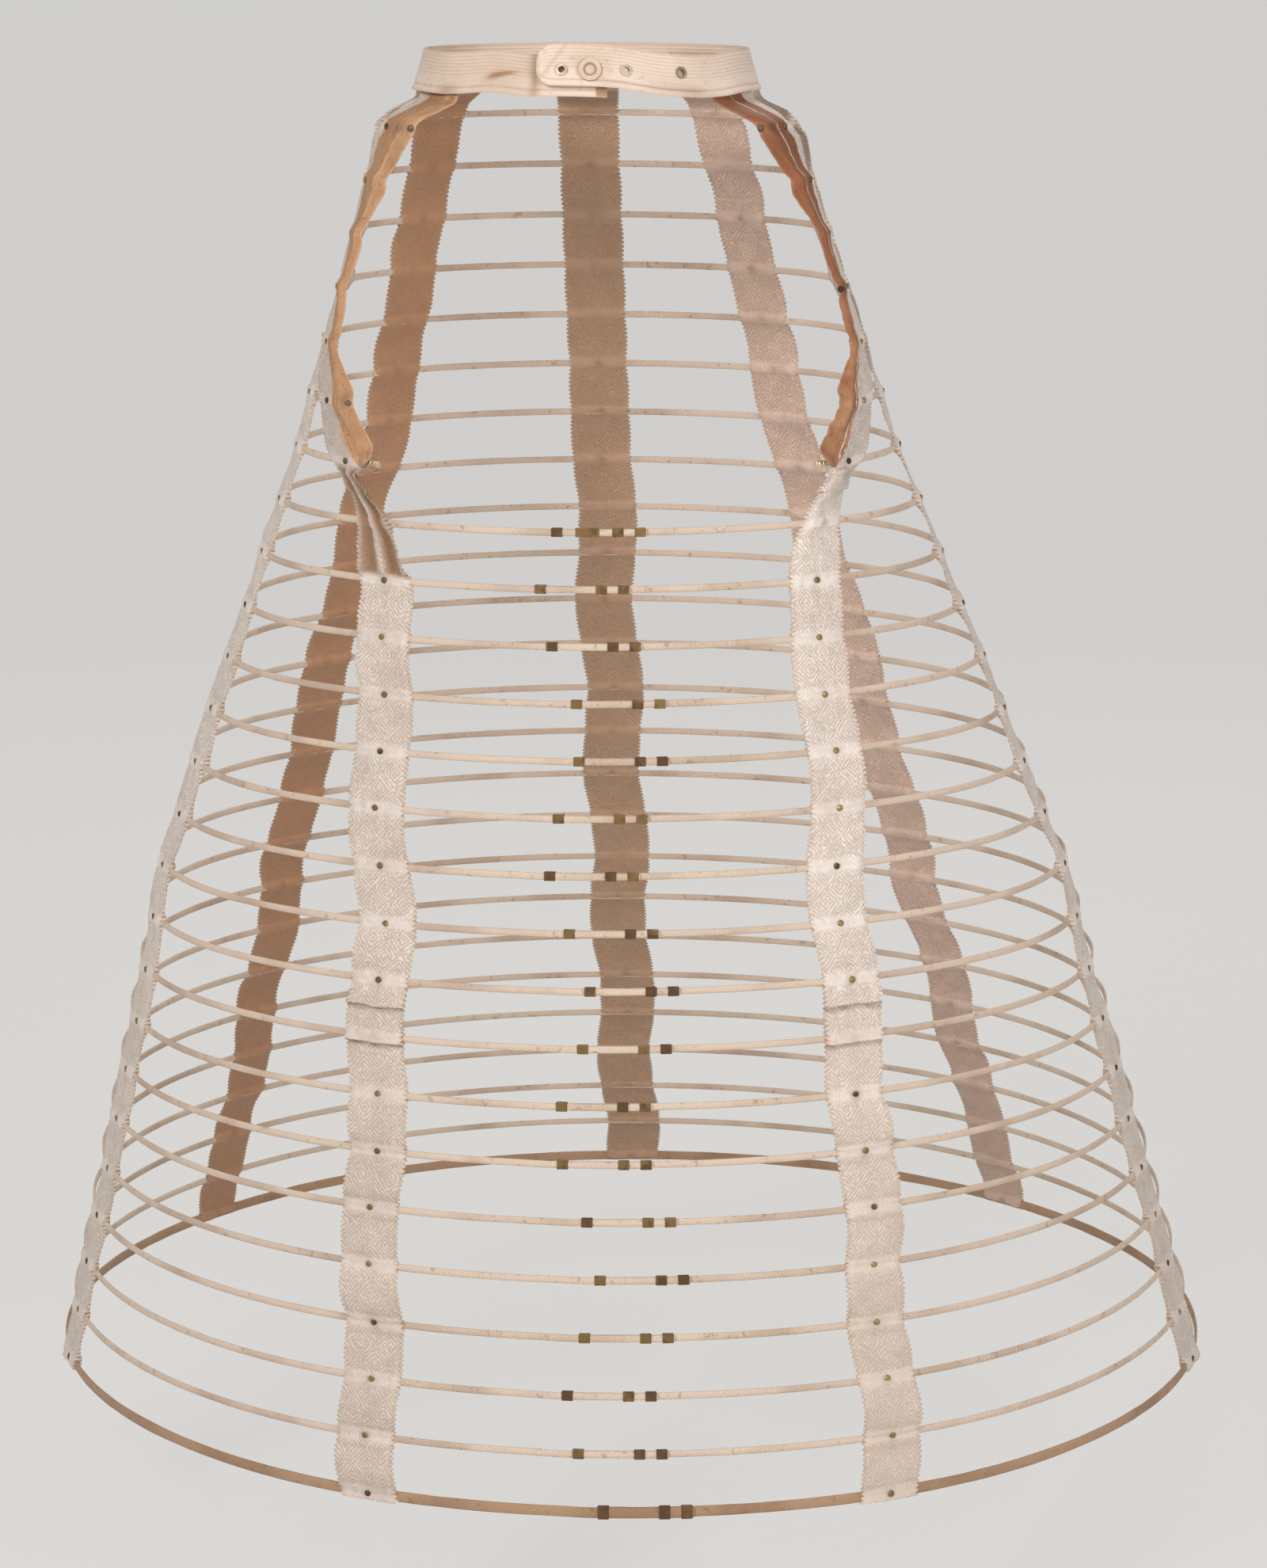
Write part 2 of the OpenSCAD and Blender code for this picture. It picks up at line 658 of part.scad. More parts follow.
// Studs: a low turned head, standing on its Z
module stud() {
    rim = stud_diameter / 2;
    rotate_extrude($fn = fitting_fn)
        polygon([
            [0, 0],
            for (step = stud_profile) [rim * step[0], stud_height * step[1]],
            [0, stud_height]
        ]);
}

// Near the waistband the facing covers the middle of its tape, and the studs go through both
function stud_on_facing(t, k) =
    t < 2 && k < half_hoops && facing_outer(k) > tape_width / 2 - stud_diameter / 2 - soft_gap;
function stud_seat(t, k) =
    pocket_face(t, k) + (stud_on_facing(t, k) ? facing_gap + facing_thickness : 0);
module tape_studs(t) {
    color("olive")
        for (k = [0:hem])
            translate(place(crossing_frame(t, k), 0, 0, stud_seat(t, k)))
                rotate([90, 0, tape_side(t) * tape_angle(t, k)])
                    stud();
}

// Leather facings: each is folded round the front edge of its tape, with a free flap turned in
function facing_outer(k) =
    lookup(k, [[0, facing_outer_top], [opening_lean_hoops, facing_outer_low]]);
function facing_section(frame, side, u, z, face, outer, flap, turn) =
    let(
        start = tape_width / 2 - outer,
        edge = tape_width / 2 + soft_gap,
        near = face + facing_gap,
        far = near + facing_thickness,
        flap_u = flap * cos(turn),
        flap_n = -flap * sin(turn)
    )
    [
        for (p = [
            [start, far],
            [edge + facing_thickness, far],
            [edge + facing_thickness + flap_u, far + flap_n],
            [edge + flap_u, near + flap_n],
            [edge, near],
            [start, near]
        ])
            place(frame, u - side * p[0], z, p[1])
    ];
function facing_flap(k) = lookup(k, [
    [0, facing_flap_top],
    [2, mix(facing_flap_mid, facing_flap_top, 0.15)],
    [half_hoops - 3, facing_flap_mid],
    [half_hoops - 2, facing_flap_low]
]);
function facing_turn_at(k) = mix(facing_waist_turn, facing_turn, smooth((k + 1) / 2));
function facing_at_waist(t, z) =
    facing_section(
        waist_frame(t, z), tape_side(t), 0, 0, tape_layer,
        facing_outer_top, facing_flap_top, facing_waist_turn
    );

// The facing follows its tape's outer face over each pocket
function facing_at_hoop(t, k) =
    let(rise = pocket_rise(k), reach = rise + pocket_taper, mid = pocket_mid(t, k))
    [
        for (z = [reach, rise, -rise, -reach])
            let(
                closed = abs(z) > rise,
                u = closed ? z * course_lean(t, k, 1) : 0,
                face = closed ? mid + z * course_lean(t, k, 2) + tape_layer : pocket_face(t, k)
            )
            facing_section(
                crossing_frame(t, k), tape_side(t), u, z, face,
                facing_outer(k), facing_flap(k), facing_turn_at(k)
            )
    ];
function facing_sections(t) =
    let(
        low = half_hoops - 2,
        above_end = facing_at_hoop(t, low)[3],
        below_end = facing_at_hoop(t, low + 1)[0]
    )
    concat(
        [for (z = [tape_top, tape_exit]) facing_at_waist(t, z)],
        [for (k = [0:low]) each facing_at_hoop(t, k)],
        [mix(above_end, below_end, facing_end)]
    );

function reversed(list) = [for (i = [1:len(list)]) list[len(list) - i]];
module facing(t) {
    sections = facing_sections(t);
    color("peru")
        loft(tape_side(t) < 0 ? sections : [for (section = sections) reversed(section)]);
}

// Studs through the facing's flap
module facing_studs(t) {
    side = tape_side(t);
    color("saddlebrown")
        for (k = facing_stud_hoops[t]) {
            frame = crossing_frame(t, k);
            turn = facing_turn_at(k);
            along = facing_flap(k) / 2;
            fold_u = tape_width / 2 + soft_gap + facing_thickness;
            fold_n = pocket_face(t, k) + facing_gap + facing_thickness;
            u = fold_u + along * cos(turn) + soft_gap * sin(turn);
            n = fold_n - along * sin(turn) + soft_gap * cos(turn);
            translate(place(frame, -side * u, 0, n))
                rotate([90, 0, side * (tape_angle(t, k) - turn)])
                    stud();
        }
}

waistband();
waistband_eyelets();
waistband_button();
hoop_clips();
hoop_end_ferrules();
for (k = HALF_HOOPS) half_hoop(k);
for (k = FULL_HOOPS) full_hoop(k);
for (t = TAPES) tape(t);
for (t = TAPES) tape_studs(t);
for (t = FRONT_TAPES) facing(t);
for (t = FRONT_TAPES) facing_studs(t);
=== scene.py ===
"""Dresses a cage crinoline: woven tapes, braided hoops, leather facings, a ribbed band and brass fittings."""

import logging
import math
from dataclasses import dataclass, field
from enum import Enum
from typing import Callable, Sequence

import bpy
import numpy as np
from mathutils import Matrix, Vector


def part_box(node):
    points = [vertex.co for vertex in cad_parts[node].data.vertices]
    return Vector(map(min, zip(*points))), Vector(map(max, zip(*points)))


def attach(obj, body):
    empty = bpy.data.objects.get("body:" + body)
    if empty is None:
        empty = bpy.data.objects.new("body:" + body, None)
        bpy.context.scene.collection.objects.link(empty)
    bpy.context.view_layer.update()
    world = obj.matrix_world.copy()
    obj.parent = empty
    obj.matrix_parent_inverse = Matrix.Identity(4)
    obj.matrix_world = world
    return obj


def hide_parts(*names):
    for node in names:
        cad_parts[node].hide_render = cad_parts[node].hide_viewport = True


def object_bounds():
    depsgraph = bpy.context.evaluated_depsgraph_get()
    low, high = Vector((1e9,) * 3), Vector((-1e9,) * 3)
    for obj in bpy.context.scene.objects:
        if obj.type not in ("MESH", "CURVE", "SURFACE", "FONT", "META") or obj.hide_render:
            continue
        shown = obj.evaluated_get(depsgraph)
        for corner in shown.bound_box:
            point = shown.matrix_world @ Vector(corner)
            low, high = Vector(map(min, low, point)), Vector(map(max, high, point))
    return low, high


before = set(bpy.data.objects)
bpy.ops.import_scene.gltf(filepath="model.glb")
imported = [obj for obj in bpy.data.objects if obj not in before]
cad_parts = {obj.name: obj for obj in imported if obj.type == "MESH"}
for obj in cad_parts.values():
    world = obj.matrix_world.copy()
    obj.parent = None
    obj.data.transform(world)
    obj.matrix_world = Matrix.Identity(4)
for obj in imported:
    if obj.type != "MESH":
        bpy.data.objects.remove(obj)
CAD_BOX = [list(corner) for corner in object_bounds()]

LOG = logging.getLogger("cage")
MM = 0.001
CLOTH_MAP = "ClothMap"
FAR_ABOVE = -99.0
Array = np.ndarray


class Tape(Enum):
    """The seven tapes, by their place on the cage."""

    FRONT_LEFT = 0
    FRONT_RIGHT = 1
    SIDE_LEFT = 2
    SIDE_RIGHT = 3
    BACK_LEFT = 4
    BACK_RIGHT = 5
    BACK_CENTRE = 6

    @property
    def label(self) -> str:
        """The tape's place in plain words, as its node has it."""
        return self.name.lower()

    @property
    def side(self) -> int:
        """Minus one on the left of the cage, and one on the right."""
        return -1 if self.value % 2 == 0 else 1

    @property
    def is_front(self) -> bool:
        """True for the two tapes that carry the facings."""
        return self.value < 2

    @property
    def is_side(self) -> bool:
        """True for the two tapes at the cage's sides."""
        return self in (Tape.SIDE_LEFT, Tape.SIDE_RIGHT)


def smooth(x: float | Array) -> float | Array:
    """Eases a share, or an array of shares, from 0 to 1."""
    c = np.clip(x, 0.0, 1.0)
    return c * c * (3 - 2 * c)


def mix(a: float, b: float, share: float) -> float:
    """Goes a share of the way from one value to another."""
    return a + (b - a) * share


def degrees_of(length: float, radius: float) -> float:
    """Turns a length on an arc into its angle."""
    return math.degrees(length / radius)


def distances(points: Array) -> Array:
    """Distance of each point of a course from its start."""
    return np.concatenate([[0.0], np.cumsum(np.linalg.norm(np.diff(points, axis=0), axis=1))])


def resample(at: Array, known: Array, table: Array) -> Array:
    """Reads a table's columns between its rows.

    Args:
        at: Places to read at.
        known: Places of the table's rows.
        table: Values by row and column.

    Returns:
        The values at the new places, by row and column.
    """
    return np.stack([np.interp(at, known, column) for column in table.T], axis=1)


def faces_up(face: bpy.types.MeshPolygon) -> bool:
    """True for a face that looks up."""
    return face.normal.z > 0.9


def bell(x: Array, power: int = 2) -> Array:
    """A soft bump that is 1 at 0."""
    return np.exp(-(x**power))


class SoftNoise:
    """Seeded value noise on a lattice, the same in each run."""

    def __init__(self, seed: int) -> None:
        """Draws the lattice.

        Args:
            seed: Number that fixes the pattern.
        """
        self.table: Array = np.random.RandomState(seed).uniform(-1.0, 1.0, (64, 64))

    def at(self, x: Array, y: Array) -> Array:
        """Samples the noise.

        Args:
            x: First coordinate, in lattice steps.
            y: Second coordinate, in lattice steps.

        Returns:
            Values between -1 and 1.
        """
        x, y = np.broadcast_arrays(np.asarray(x, float), np.asarray(y, float))
        x0, y0 = np.floor(x).astype(int), np.floor(y).astype(int)
        fx, fy = smooth(x - x0), smooth(y - y0)
        t = self.table
        low = t[x0 % 64, y0 % 64] * (1 - fx) + t[(x0 + 1) % 64, y0 % 64] * fx
        high = t[x0 % 64, (y0 + 1) % 64] * (1 - fx) + t[(x0 + 1) % 64, (y0 + 1) % 64] * fx
        return low * (1 - fy) + high * fy


@dataclass(frozen=True)
class Oval:
    """Plan of a hoop or of the waist: four arcs that join where they face 45 degrees off the axes."""

    x: float
    y: float
    half_width: float
    half_depth: float

    @property
    def excess(self) -> float:
        """How far the side arcs' centres stand off the middle."""
        return (self.half_width - self.half_depth) / (2 - math.sqrt(2))

    def radius(self, angle: float) -> float:
        """Radius of the arc at an angle from the front."""
        return self.half_width - self.excess if 45 < angle < 135 else self.half_depth + self.excess

    def point(self, angle: float, side: int, z: float) -> Array:
        """A point of the oval.

        Args:
            angle: Angle from the front, 0 to 180.
            side: -1 on the left, 1 on the right.
            z: Height of the point.

        Returns:
            The point, in millimetres.
        """
        if 45 < angle < 135:
            centre = np.array([self.x + side * self.excess, self.y, z])
        else:
            centre = np.array([self.x, self.y + (self.excess if angle <= 45 else -self.excess), z])
        return centre + self.radius(angle) * outward(angle, side)


def outward(angle: float, side: int) -> Array:
    """Direction out of the cage at an angle from the front."""
    a = math.radians(angle)
    return np.array([side * math.sin(a), -math.cos(a), 0.0])


def across(angle: float, side: int) -> Array:
    """Direction along a hoop at an angle from the front."""
    a = math.radians(angle)
    return np.array([math.cos(a), side * math.sin(a), 0.0])


@dataclass(frozen=True)
class Spot:
    """A place on the cage with its directions along the hoop and outward."""

    origin: Array
    u: Array
    n: Array

    def place(self, u: float, z: float, n: float) -> Array:
        """A point given along the hoop, up and outward."""
        return self.origin + u * self.u + np.array([0, 0, z]) + n * self.n


@dataclass(frozen=True)
class CageForm:
    """Sizes of the cage in millimetres and degrees, and the places that follow from them."""

    waist_half_width: float = 112
    waist_half_depth: float = 92
    band_height: float = 30
    band_thickness: float = 1.4
    band_flare: float = 4.5
    tab_reach: float = 31
    tab_corner: float = 11
    tab_lift: float = 3
    under_reach: float = 14
    under_drop: float = 4
    lap_air: float = 1.4
    lap_ease: float = 18
    half_hoops: int = 7
    hem: int = 24
    top_drop: float = 36
    hoop_pitch: float = 36
    hoop_height: float = 4.5
    hem_hoop_height: float = 7
    hoop_thickness: float = 1.8
    lap_length: float = 62
    lap_bite: float = 0.1
    lap_wander: float = 12
    lap_wave: float = 77
    knee_hoop: int = 14
    half_widths: tuple[float, ...] = (139, 203, 314, 407)
    fronts: tuple[float, float] = (127, 325)
    backs: tuple[float, float] = (125, 550)
    back_curve: float = 0.55
    hem_sway: float = 30
    tape_width: float = 40
    tape_layer: float = 0.6
    pocket_clearance: float = 0.3
    pocket_taper: float = 5
    front_angles: tuple[float, float] = (33.5, 26)
    opening_angle: float = 81
    front_waist_angle: float = 60
    opening_lean: float = 1.7
    opening_swing: float = 5
    opening_lean_hoops: int = 3
    side_top_angle: float = 100
    side_left_angles: tuple[float, ...] = (84, 76, 74, 77)
    side_right_angles: tuple[float, ...] = (86, 77, 75, 76)
    side_turn_hoops: int = 3
    back_angles: tuple[float, float] = (140, 128)
    back_skew: float = 3
    tape_wander: float = 3
    wander_wave: float = 97
    tape_slack: float = 4
    slack_wave: float = 131
    tape_phase: float = 61
    tape_tuck: float = 22
    facing_thickness: float = 1
    facing_outers: tuple[float, float] = (34, 9)
    facing_flaps: tuple[float, float, float] = (18, 6.5, 14)
    facing_turn: float = 65
    facing_waist_turn: float = 20
    facing_gap: float = 0.5
    soft_gap: float = 0.3
    eyelet_back: float = 0.8
    ferrule_length: float = 8
    clip_wall: float = 0.4
    hoop_end_inset: float = 2

    def drop_share(self, k: int) -> float:
        """Share of the way from the top hoop to the hem."""
        return k / self.hem

    def hoop_z(self, k: int) -> float:
        """Height of a hoop."""
        return -(self.top_drop + k * self.hoop_pitch)

    def section_height(self, k: int) -> float:
        """Height of a hoop's section."""
        return self.hem_hoop_height if k == self.hem else self.hoop_height

    def hoop_oval(self, k: int) -> Oval:
        """Plan of a hoop."""
        share = self.drop_share(k)
        front = mix(*self.fronts, share)
        back = mix(*self.backs, share * (1 - self.back_curve + self.back_curve * share))
        knots = (0, self.half_hoops - 1, self.knee_hoop, self.hem)
        width = float(np.interp(k, knots, self.half_widths))
        return Oval(self.hem_sway * share, (back - front) / 2, width, (back + front) / 2)

    def waist_oval(self, z: float) -> Oval:
        """Plan of the waistband at a height."""
        grow = -self.band_flare / (self.band_height / 2) * z
        return Oval(0, 0, self.waist_half_width + grow, self.waist_half_depth + grow)

    def front_angle(self, k: int) -> float:
        """Angle of the front tapes at a hoop."""
        start = self.half_hoops + 1
        low = float(np.interp(k, (start, self.knee_hoop), self.front_angles))
        swing = mix(low, self.opening_angle, smooth((start - k) / self.opening_swing))
        return swing - self.opening_lean * max(0, self.opening_lean_hoops - k) ** 2

    def base_angle(self, tape: Tape, k: int) -> float:
        """Angle of a tape at a hoop, before it wanders."""
        if tape.is_front:
            return self.front_angle(k)
        if tape.is_side:
            turns = self.side_left_angles if tape.side < 0 else self.side_right_angles
            low = self.knee_hoop + self.side_turn_hoops
            knots = (self.opening_lean_hoops, self.half_hoops - 2, self.knee_hoop, low, self.hem)
            return float(np.interp(k, knots, (self.side_top_angle, *turns)))
        if tape is Tape.BACK_CENTRE:
            return 180.0
        angle = float(np.interp(k, (self.knee_hoop, self.hem), self.back_angles))
        return angle + self.back_skew * tape.side

    def tape_angle(self, tape: Tape, k: int) -> float:
        """Angle of a tape at a hoop."""
        angle = self.base_angle(tape, k)
        if k <= self.half_hoops:
            return angle
        wave = math.sin(math.radians(self.wander_wave * k + self.tape_phase * tape.value))
        return angle + degrees_of(self.tape_wander * wave, self.hoop_oval(k).radius(angle))

    def crossing_radius(self, tape: Tape, k: int) -> float:
        """Radius of a hoop where a tape crosses it."""
        return self.hoop_oval(k).radius(self.tape_angle(tape, k))

    def crossing(self, tape: Tape, k: int) -> Spot:
        """The spot where a tape crosses a hoop."""
        angle = self.tape_angle(tape, k)
        origin = self.hoop_oval(k).point(angle, tape.side, self.hoop_z(k))
        return Spot(origin, across(angle, tape.side), outward(angle, tape.side))

    def sag(self, radius: float) -> float:
        """How far a hoop's curve falls away across half a tape."""
        return self.tape_width**2 / (8 * radius)

    @property
    def band_bottom(self) -> float:
        """Height of the band's lower edge."""
        return -self.band_height / 2

    @property
    def tape_top(self) -> float:
        """Height of the tapes' tucked ends."""
        return self.band_bottom + self.tape_tuck

    @property
    def tape_exit(self) -> float:
        """Height at which the tapes leave the band."""
        return self.band_bottom - self.under_drop - self.soft_gap

    def at_waist(self, tape: Tape, z: float) -> Spot:
        """The spot of a tape behind the band."""
        waist = self.waist_oval(0)
        angle = self.front_waist_angle if tape.is_front else self.base_angle(tape, 0)
        inset = self.band_thickness / 2 + self.soft_gap + self.tape_layer
        inset += self.sag(min(waist.radius(90), waist.radius(0)))
        if tape.is_front:
            inset += self.facing_thickness + self.facing_gap + self.eyelet_back
        out = outward(angle, tape.side)
        point = self.waist_oval(z).point(angle, tape.side, z) - inset * out
        return Spot(point, across(angle, tape.side), out)

    def pocket_rise(self, k: int) -> float:
        """Half the height of a pocket's tunnel."""
        return self.section_height(k) / 2 + self.pocket_clearance

    @property
    def pocket_face(self) -> float:
        """How far a pocket's outer face stands off the hoop's middle."""
        return self.hoop_thickness / 2 + self.pocket_clearance + self.tape_layer

    def leans(self, tape: Tape, k: int) -> tuple[float, float]:
        """How a tape's course leans along the hoop and outward, for each unit of height."""
        above = self.at_waist(tape, self.tape_exit) if k == 0 else self.crossing(tape, k - 1)
        below = self.crossing(tape, min(k + 1, self.hem))
        run = above.origin - below.origin
        spot = self.crossing(tape, k)
        return float(run @ spot.u / run[2]), float(run @ spot.n / run[2])

    def slack(self, tape: Tape, k: int) -> float:
        """How far a tape bows out below a hoop."""
        if tape.is_front and k < self.half_hoops:
            return 0.0
        wave = math.sin(math.radians(self.slack_wave * k + self.tape_phase * tape.value))
        return self.tape_slack / 2 * (1 + wave)

    def facing_outer(self, k: int) -> float:
        """Width of a facing on its tape's outer face at a half hoop."""
        return float(np.interp(k, (0, self.opening_lean_hoops), self.facing_outers))

    def facing_flap(self, k: int) -> float:
        """Width of a facing's flap at a half hoop."""
        top, mid, low = self.facing_flaps
        knots = (0, 2, self.half_hoops - 3, self.half_hoops - 2)
        return float(np.interp(k, knots, (top, mix(mid, top, 0.15), mid, low)))

    def lap_centre(self, k: int) -> float:
        """Bearing of the middle of a full hoop's lap, from +X towards the back."""
        radius = self.hoop_oval(k).radius(0)
        return 270 + degrees_of(self.lap_wander * math.sin(math.radians(self.lap_wave * k)), radius)

    def half_hoop_start(self, k: int) -> float:
        """Angle from the front at which a half hoop's ends stop."""
        ferrule = self.ferrule_length - self.clip_wall
        reach = self.tape_width / 2 + (ferrule if k == self.half_hoops - 1 else -self.hoop_end_inset)
        return self.front_angle(k) - degrees_of(reach, self.crossing_radius(Tape.FRONT_RIGHT, k))


FORM = CageForm()


class Bench:
    """Small steps of modelling with Blender's own operators."""

    @staticmethod
    def deselect() -> None:
        """Clears the selection."""
        bpy.ops.object.select_all(action="DESELECT")

    @classmethod
    def grid(cls, name: str, columns: int, rows: int) -> bpy.types.Object:
        """Adds a flat grid of cloth to be shaped.

        Args:
            name: Name of the piece.
            columns: Number of faces across.
            rows: Number of faces along.

        Returns:
            The grid, selected and active.
        """
        cls.deselect()
        bpy.ops.mesh.primitive_grid_add(x_subdivisions=columns, y_subdivisions=rows, size=1.0)
        piece = bpy.context.object
        piece.name = piece.data.name = name
        return piece

    @staticmethod
    def grid_places(piece: bpy.types.Object, columns: int, rows: int) -> tuple[Array, Array]:
        """Reads which column and row each of a fresh grid's points is in."""
        flat = np.empty(len(piece.data.vertices) * 3)
        piece.data.vertices.foreach_get("co", flat)
        flat = flat.reshape(-1, 3)
        column = np.rint((flat[:, 0] + 0.5) * columns).astype(int)
        row = np.rint((flat[:, 1] + 0.5) * rows).astype(int)
        return column, row

    @staticmethod
    def shape(piece: bpy.types.Object, points: Array) -> None:
        """Moves a piece's points, given in millimetres, to their places."""
        piece.data.vertices.foreach_set("co", (points * MM).astype(np.float32).ravel())
        piece.data.update()

    @staticmethod
    def lay_out(piece: bpy.types.Object, u: Array, v: Array, columns: int, rows: int) -> None:
        """Stretches a grid's UV map to millimetres of cloth.

        Args:
            piece: The grid.
            u: Millimetres across, for each column.
            v: Millimetres along, for each row.
            columns: Number of faces across.
            rows: Number of faces along.
        """
        layer = piece.data.uv_layers[0]
        layer.name = CLOTH_MAP
        flat = np.empty(len(layer.data) * 2)
        layer.data.foreach_get("uv", flat)
        flat = flat.reshape(-1, 2)
        column = np.rint(flat[:, 0] * columns).astype(int)
        row = np.rint(flat[:, 1] * rows).astype(int)
        layer.data.foreach_set("uv", np.stack([u[column], v[row]], axis=1).astype(np.float32).ravel())

    @staticmethod
    def mark(piece: bpy.types.Object, **marks: Array) -> None:
        """Keeps numbers on each point, by name, for the finish to read."""
        for name, values in marks.items():
            attribute = piece.data.attributes.new(name, "FLOAT", "POINT")
            attribute.data.foreach_set("value", values.astype(np.float32))

    @classmethod
    def activate(cls, piece: bpy.types.Object) -> None:
        """Makes a piece the active one, and the only one selected."""
        cls.deselect()
        piece.select_set(True)
        bpy.context.view_layer.objects.active = piece

    @staticmethod
    def settle() -> None:
        """Applies the active piece's place, turn and scale to its points."""
        bpy.ops.object.transform_apply(location=True, rotation=True, scale=True)

    @staticmethod
    def face_outward() -> None:
        """Turns the active piece's faces outward."""
        bpy.ops.object.mode_set(mode="EDIT")
        bpy.ops.mesh.select_all(action="SELECT")
        bpy.ops.mesh.normals_make_consistent(inside=False)
        bpy.ops.object.mode_set(mode="OBJECT")

    @classmethod
    def drum(cls, sides: int, radius: float, depth: float) -> bpy.types.Object:
        """Adds an upright drum round the origin, in millimetres."""
        cls.deselect()
        bpy.ops.mesh.primitive_cylinder_add(
            vertices=sides, radius=radius * MM, depth=depth * MM, location=(0.0, 0.0, 0.0)
        )
        return bpy.context.object

    @classmethod
    def pick_faces(cls, piece: bpy.types.Object, test: Callable[[bpy.types.MeshPolygon], bool]) -> None:
        """Opens a piece for editing, with only the faces selected that pass a test."""
        cls.activate(piece)
        bpy.ops.object.mode_set(mode="EDIT")
        bpy.ops.mesh.select_all(action="DESELECT")
        bpy.ops.mesh.select_mode(type="FACE")
        bpy.ops.object.mode_set(mode="OBJECT")
        for face in piece.data.polygons:
            face.select = test(face)
        bpy.ops.object.mode_set(mode="EDIT")

    @staticmethod
    def round_edges(piece: bpy.types.Object, width: float, segments: int) -> None:
        """Rounds the active piece's sharp edges, by a width in millimetres."""
        rounding = piece.modifiers.new("rounding", "BEVEL")
        rounding.width = width * MM
        rounding.segments = segments
        rounding.limit_method = "ANGLE"
        bpy.ops.object.modifier_apply(modifier=rounding.name)

    @classmethod
    def close(cls, piece: bpy.types.Object) -> None:
        """Joins a rolled grid's seam, fills its ends and turns its faces outward."""
        cls.activate(piece)
        bpy.ops.object.mode_set(mode="EDIT")
        bpy.ops.mesh.select_all(action="SELECT")
        bpy.ops.mesh.remove_doubles(threshold=1e-6)
        bpy.ops.mesh.select_all(action="SELECT")
        bpy.ops.mesh.fill_holes(sides=0)
        bpy.ops.object.mode_set(mode="OBJECT")
        cls.face_outward()

    @classmethod
    def thicken(cls, piece: bpy.types.Object, thickness: float) -> None:
        """Gives a sheet its thickness, in millimetres, half to each side."""
        cls.activate(piece)
        wall = piece.modifiers.new("thickness", "SOLIDIFY")
        wall.thickness = thickness * MM
        wall.offset = 0.0
        wall.use_even_offset = False
        bpy.ops.object.modifier_apply(modifier=wall.name)
        cls.face_outward()

    @classmethod
    def soften(cls, piece: bpy.types.Object, angle: float) -> None:
        """Shades a piece smooth, apart from edges sharper than an angle."""
        cls.activate(piece)
        bpy.ops.object.shade_smooth_by_angle(angle=math.radians(angle))

    @staticmethod
    def hand_over(piece: bpy.types.Object, node: str, slot: str, finish: bpy.types.Material) -> None:
        """Gives a piece its finish and puts it in its solid's place."""
        piece.data.materials.clear()
        piece.data.materials.append(finish)
        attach(piece, "root")
        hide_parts(node)
        LOG.info("%s: %d faces", piece.name, len(piece.data.polygons))


Colour = tuple[float, float, float]
Socket = bpy.types.NodeSocket


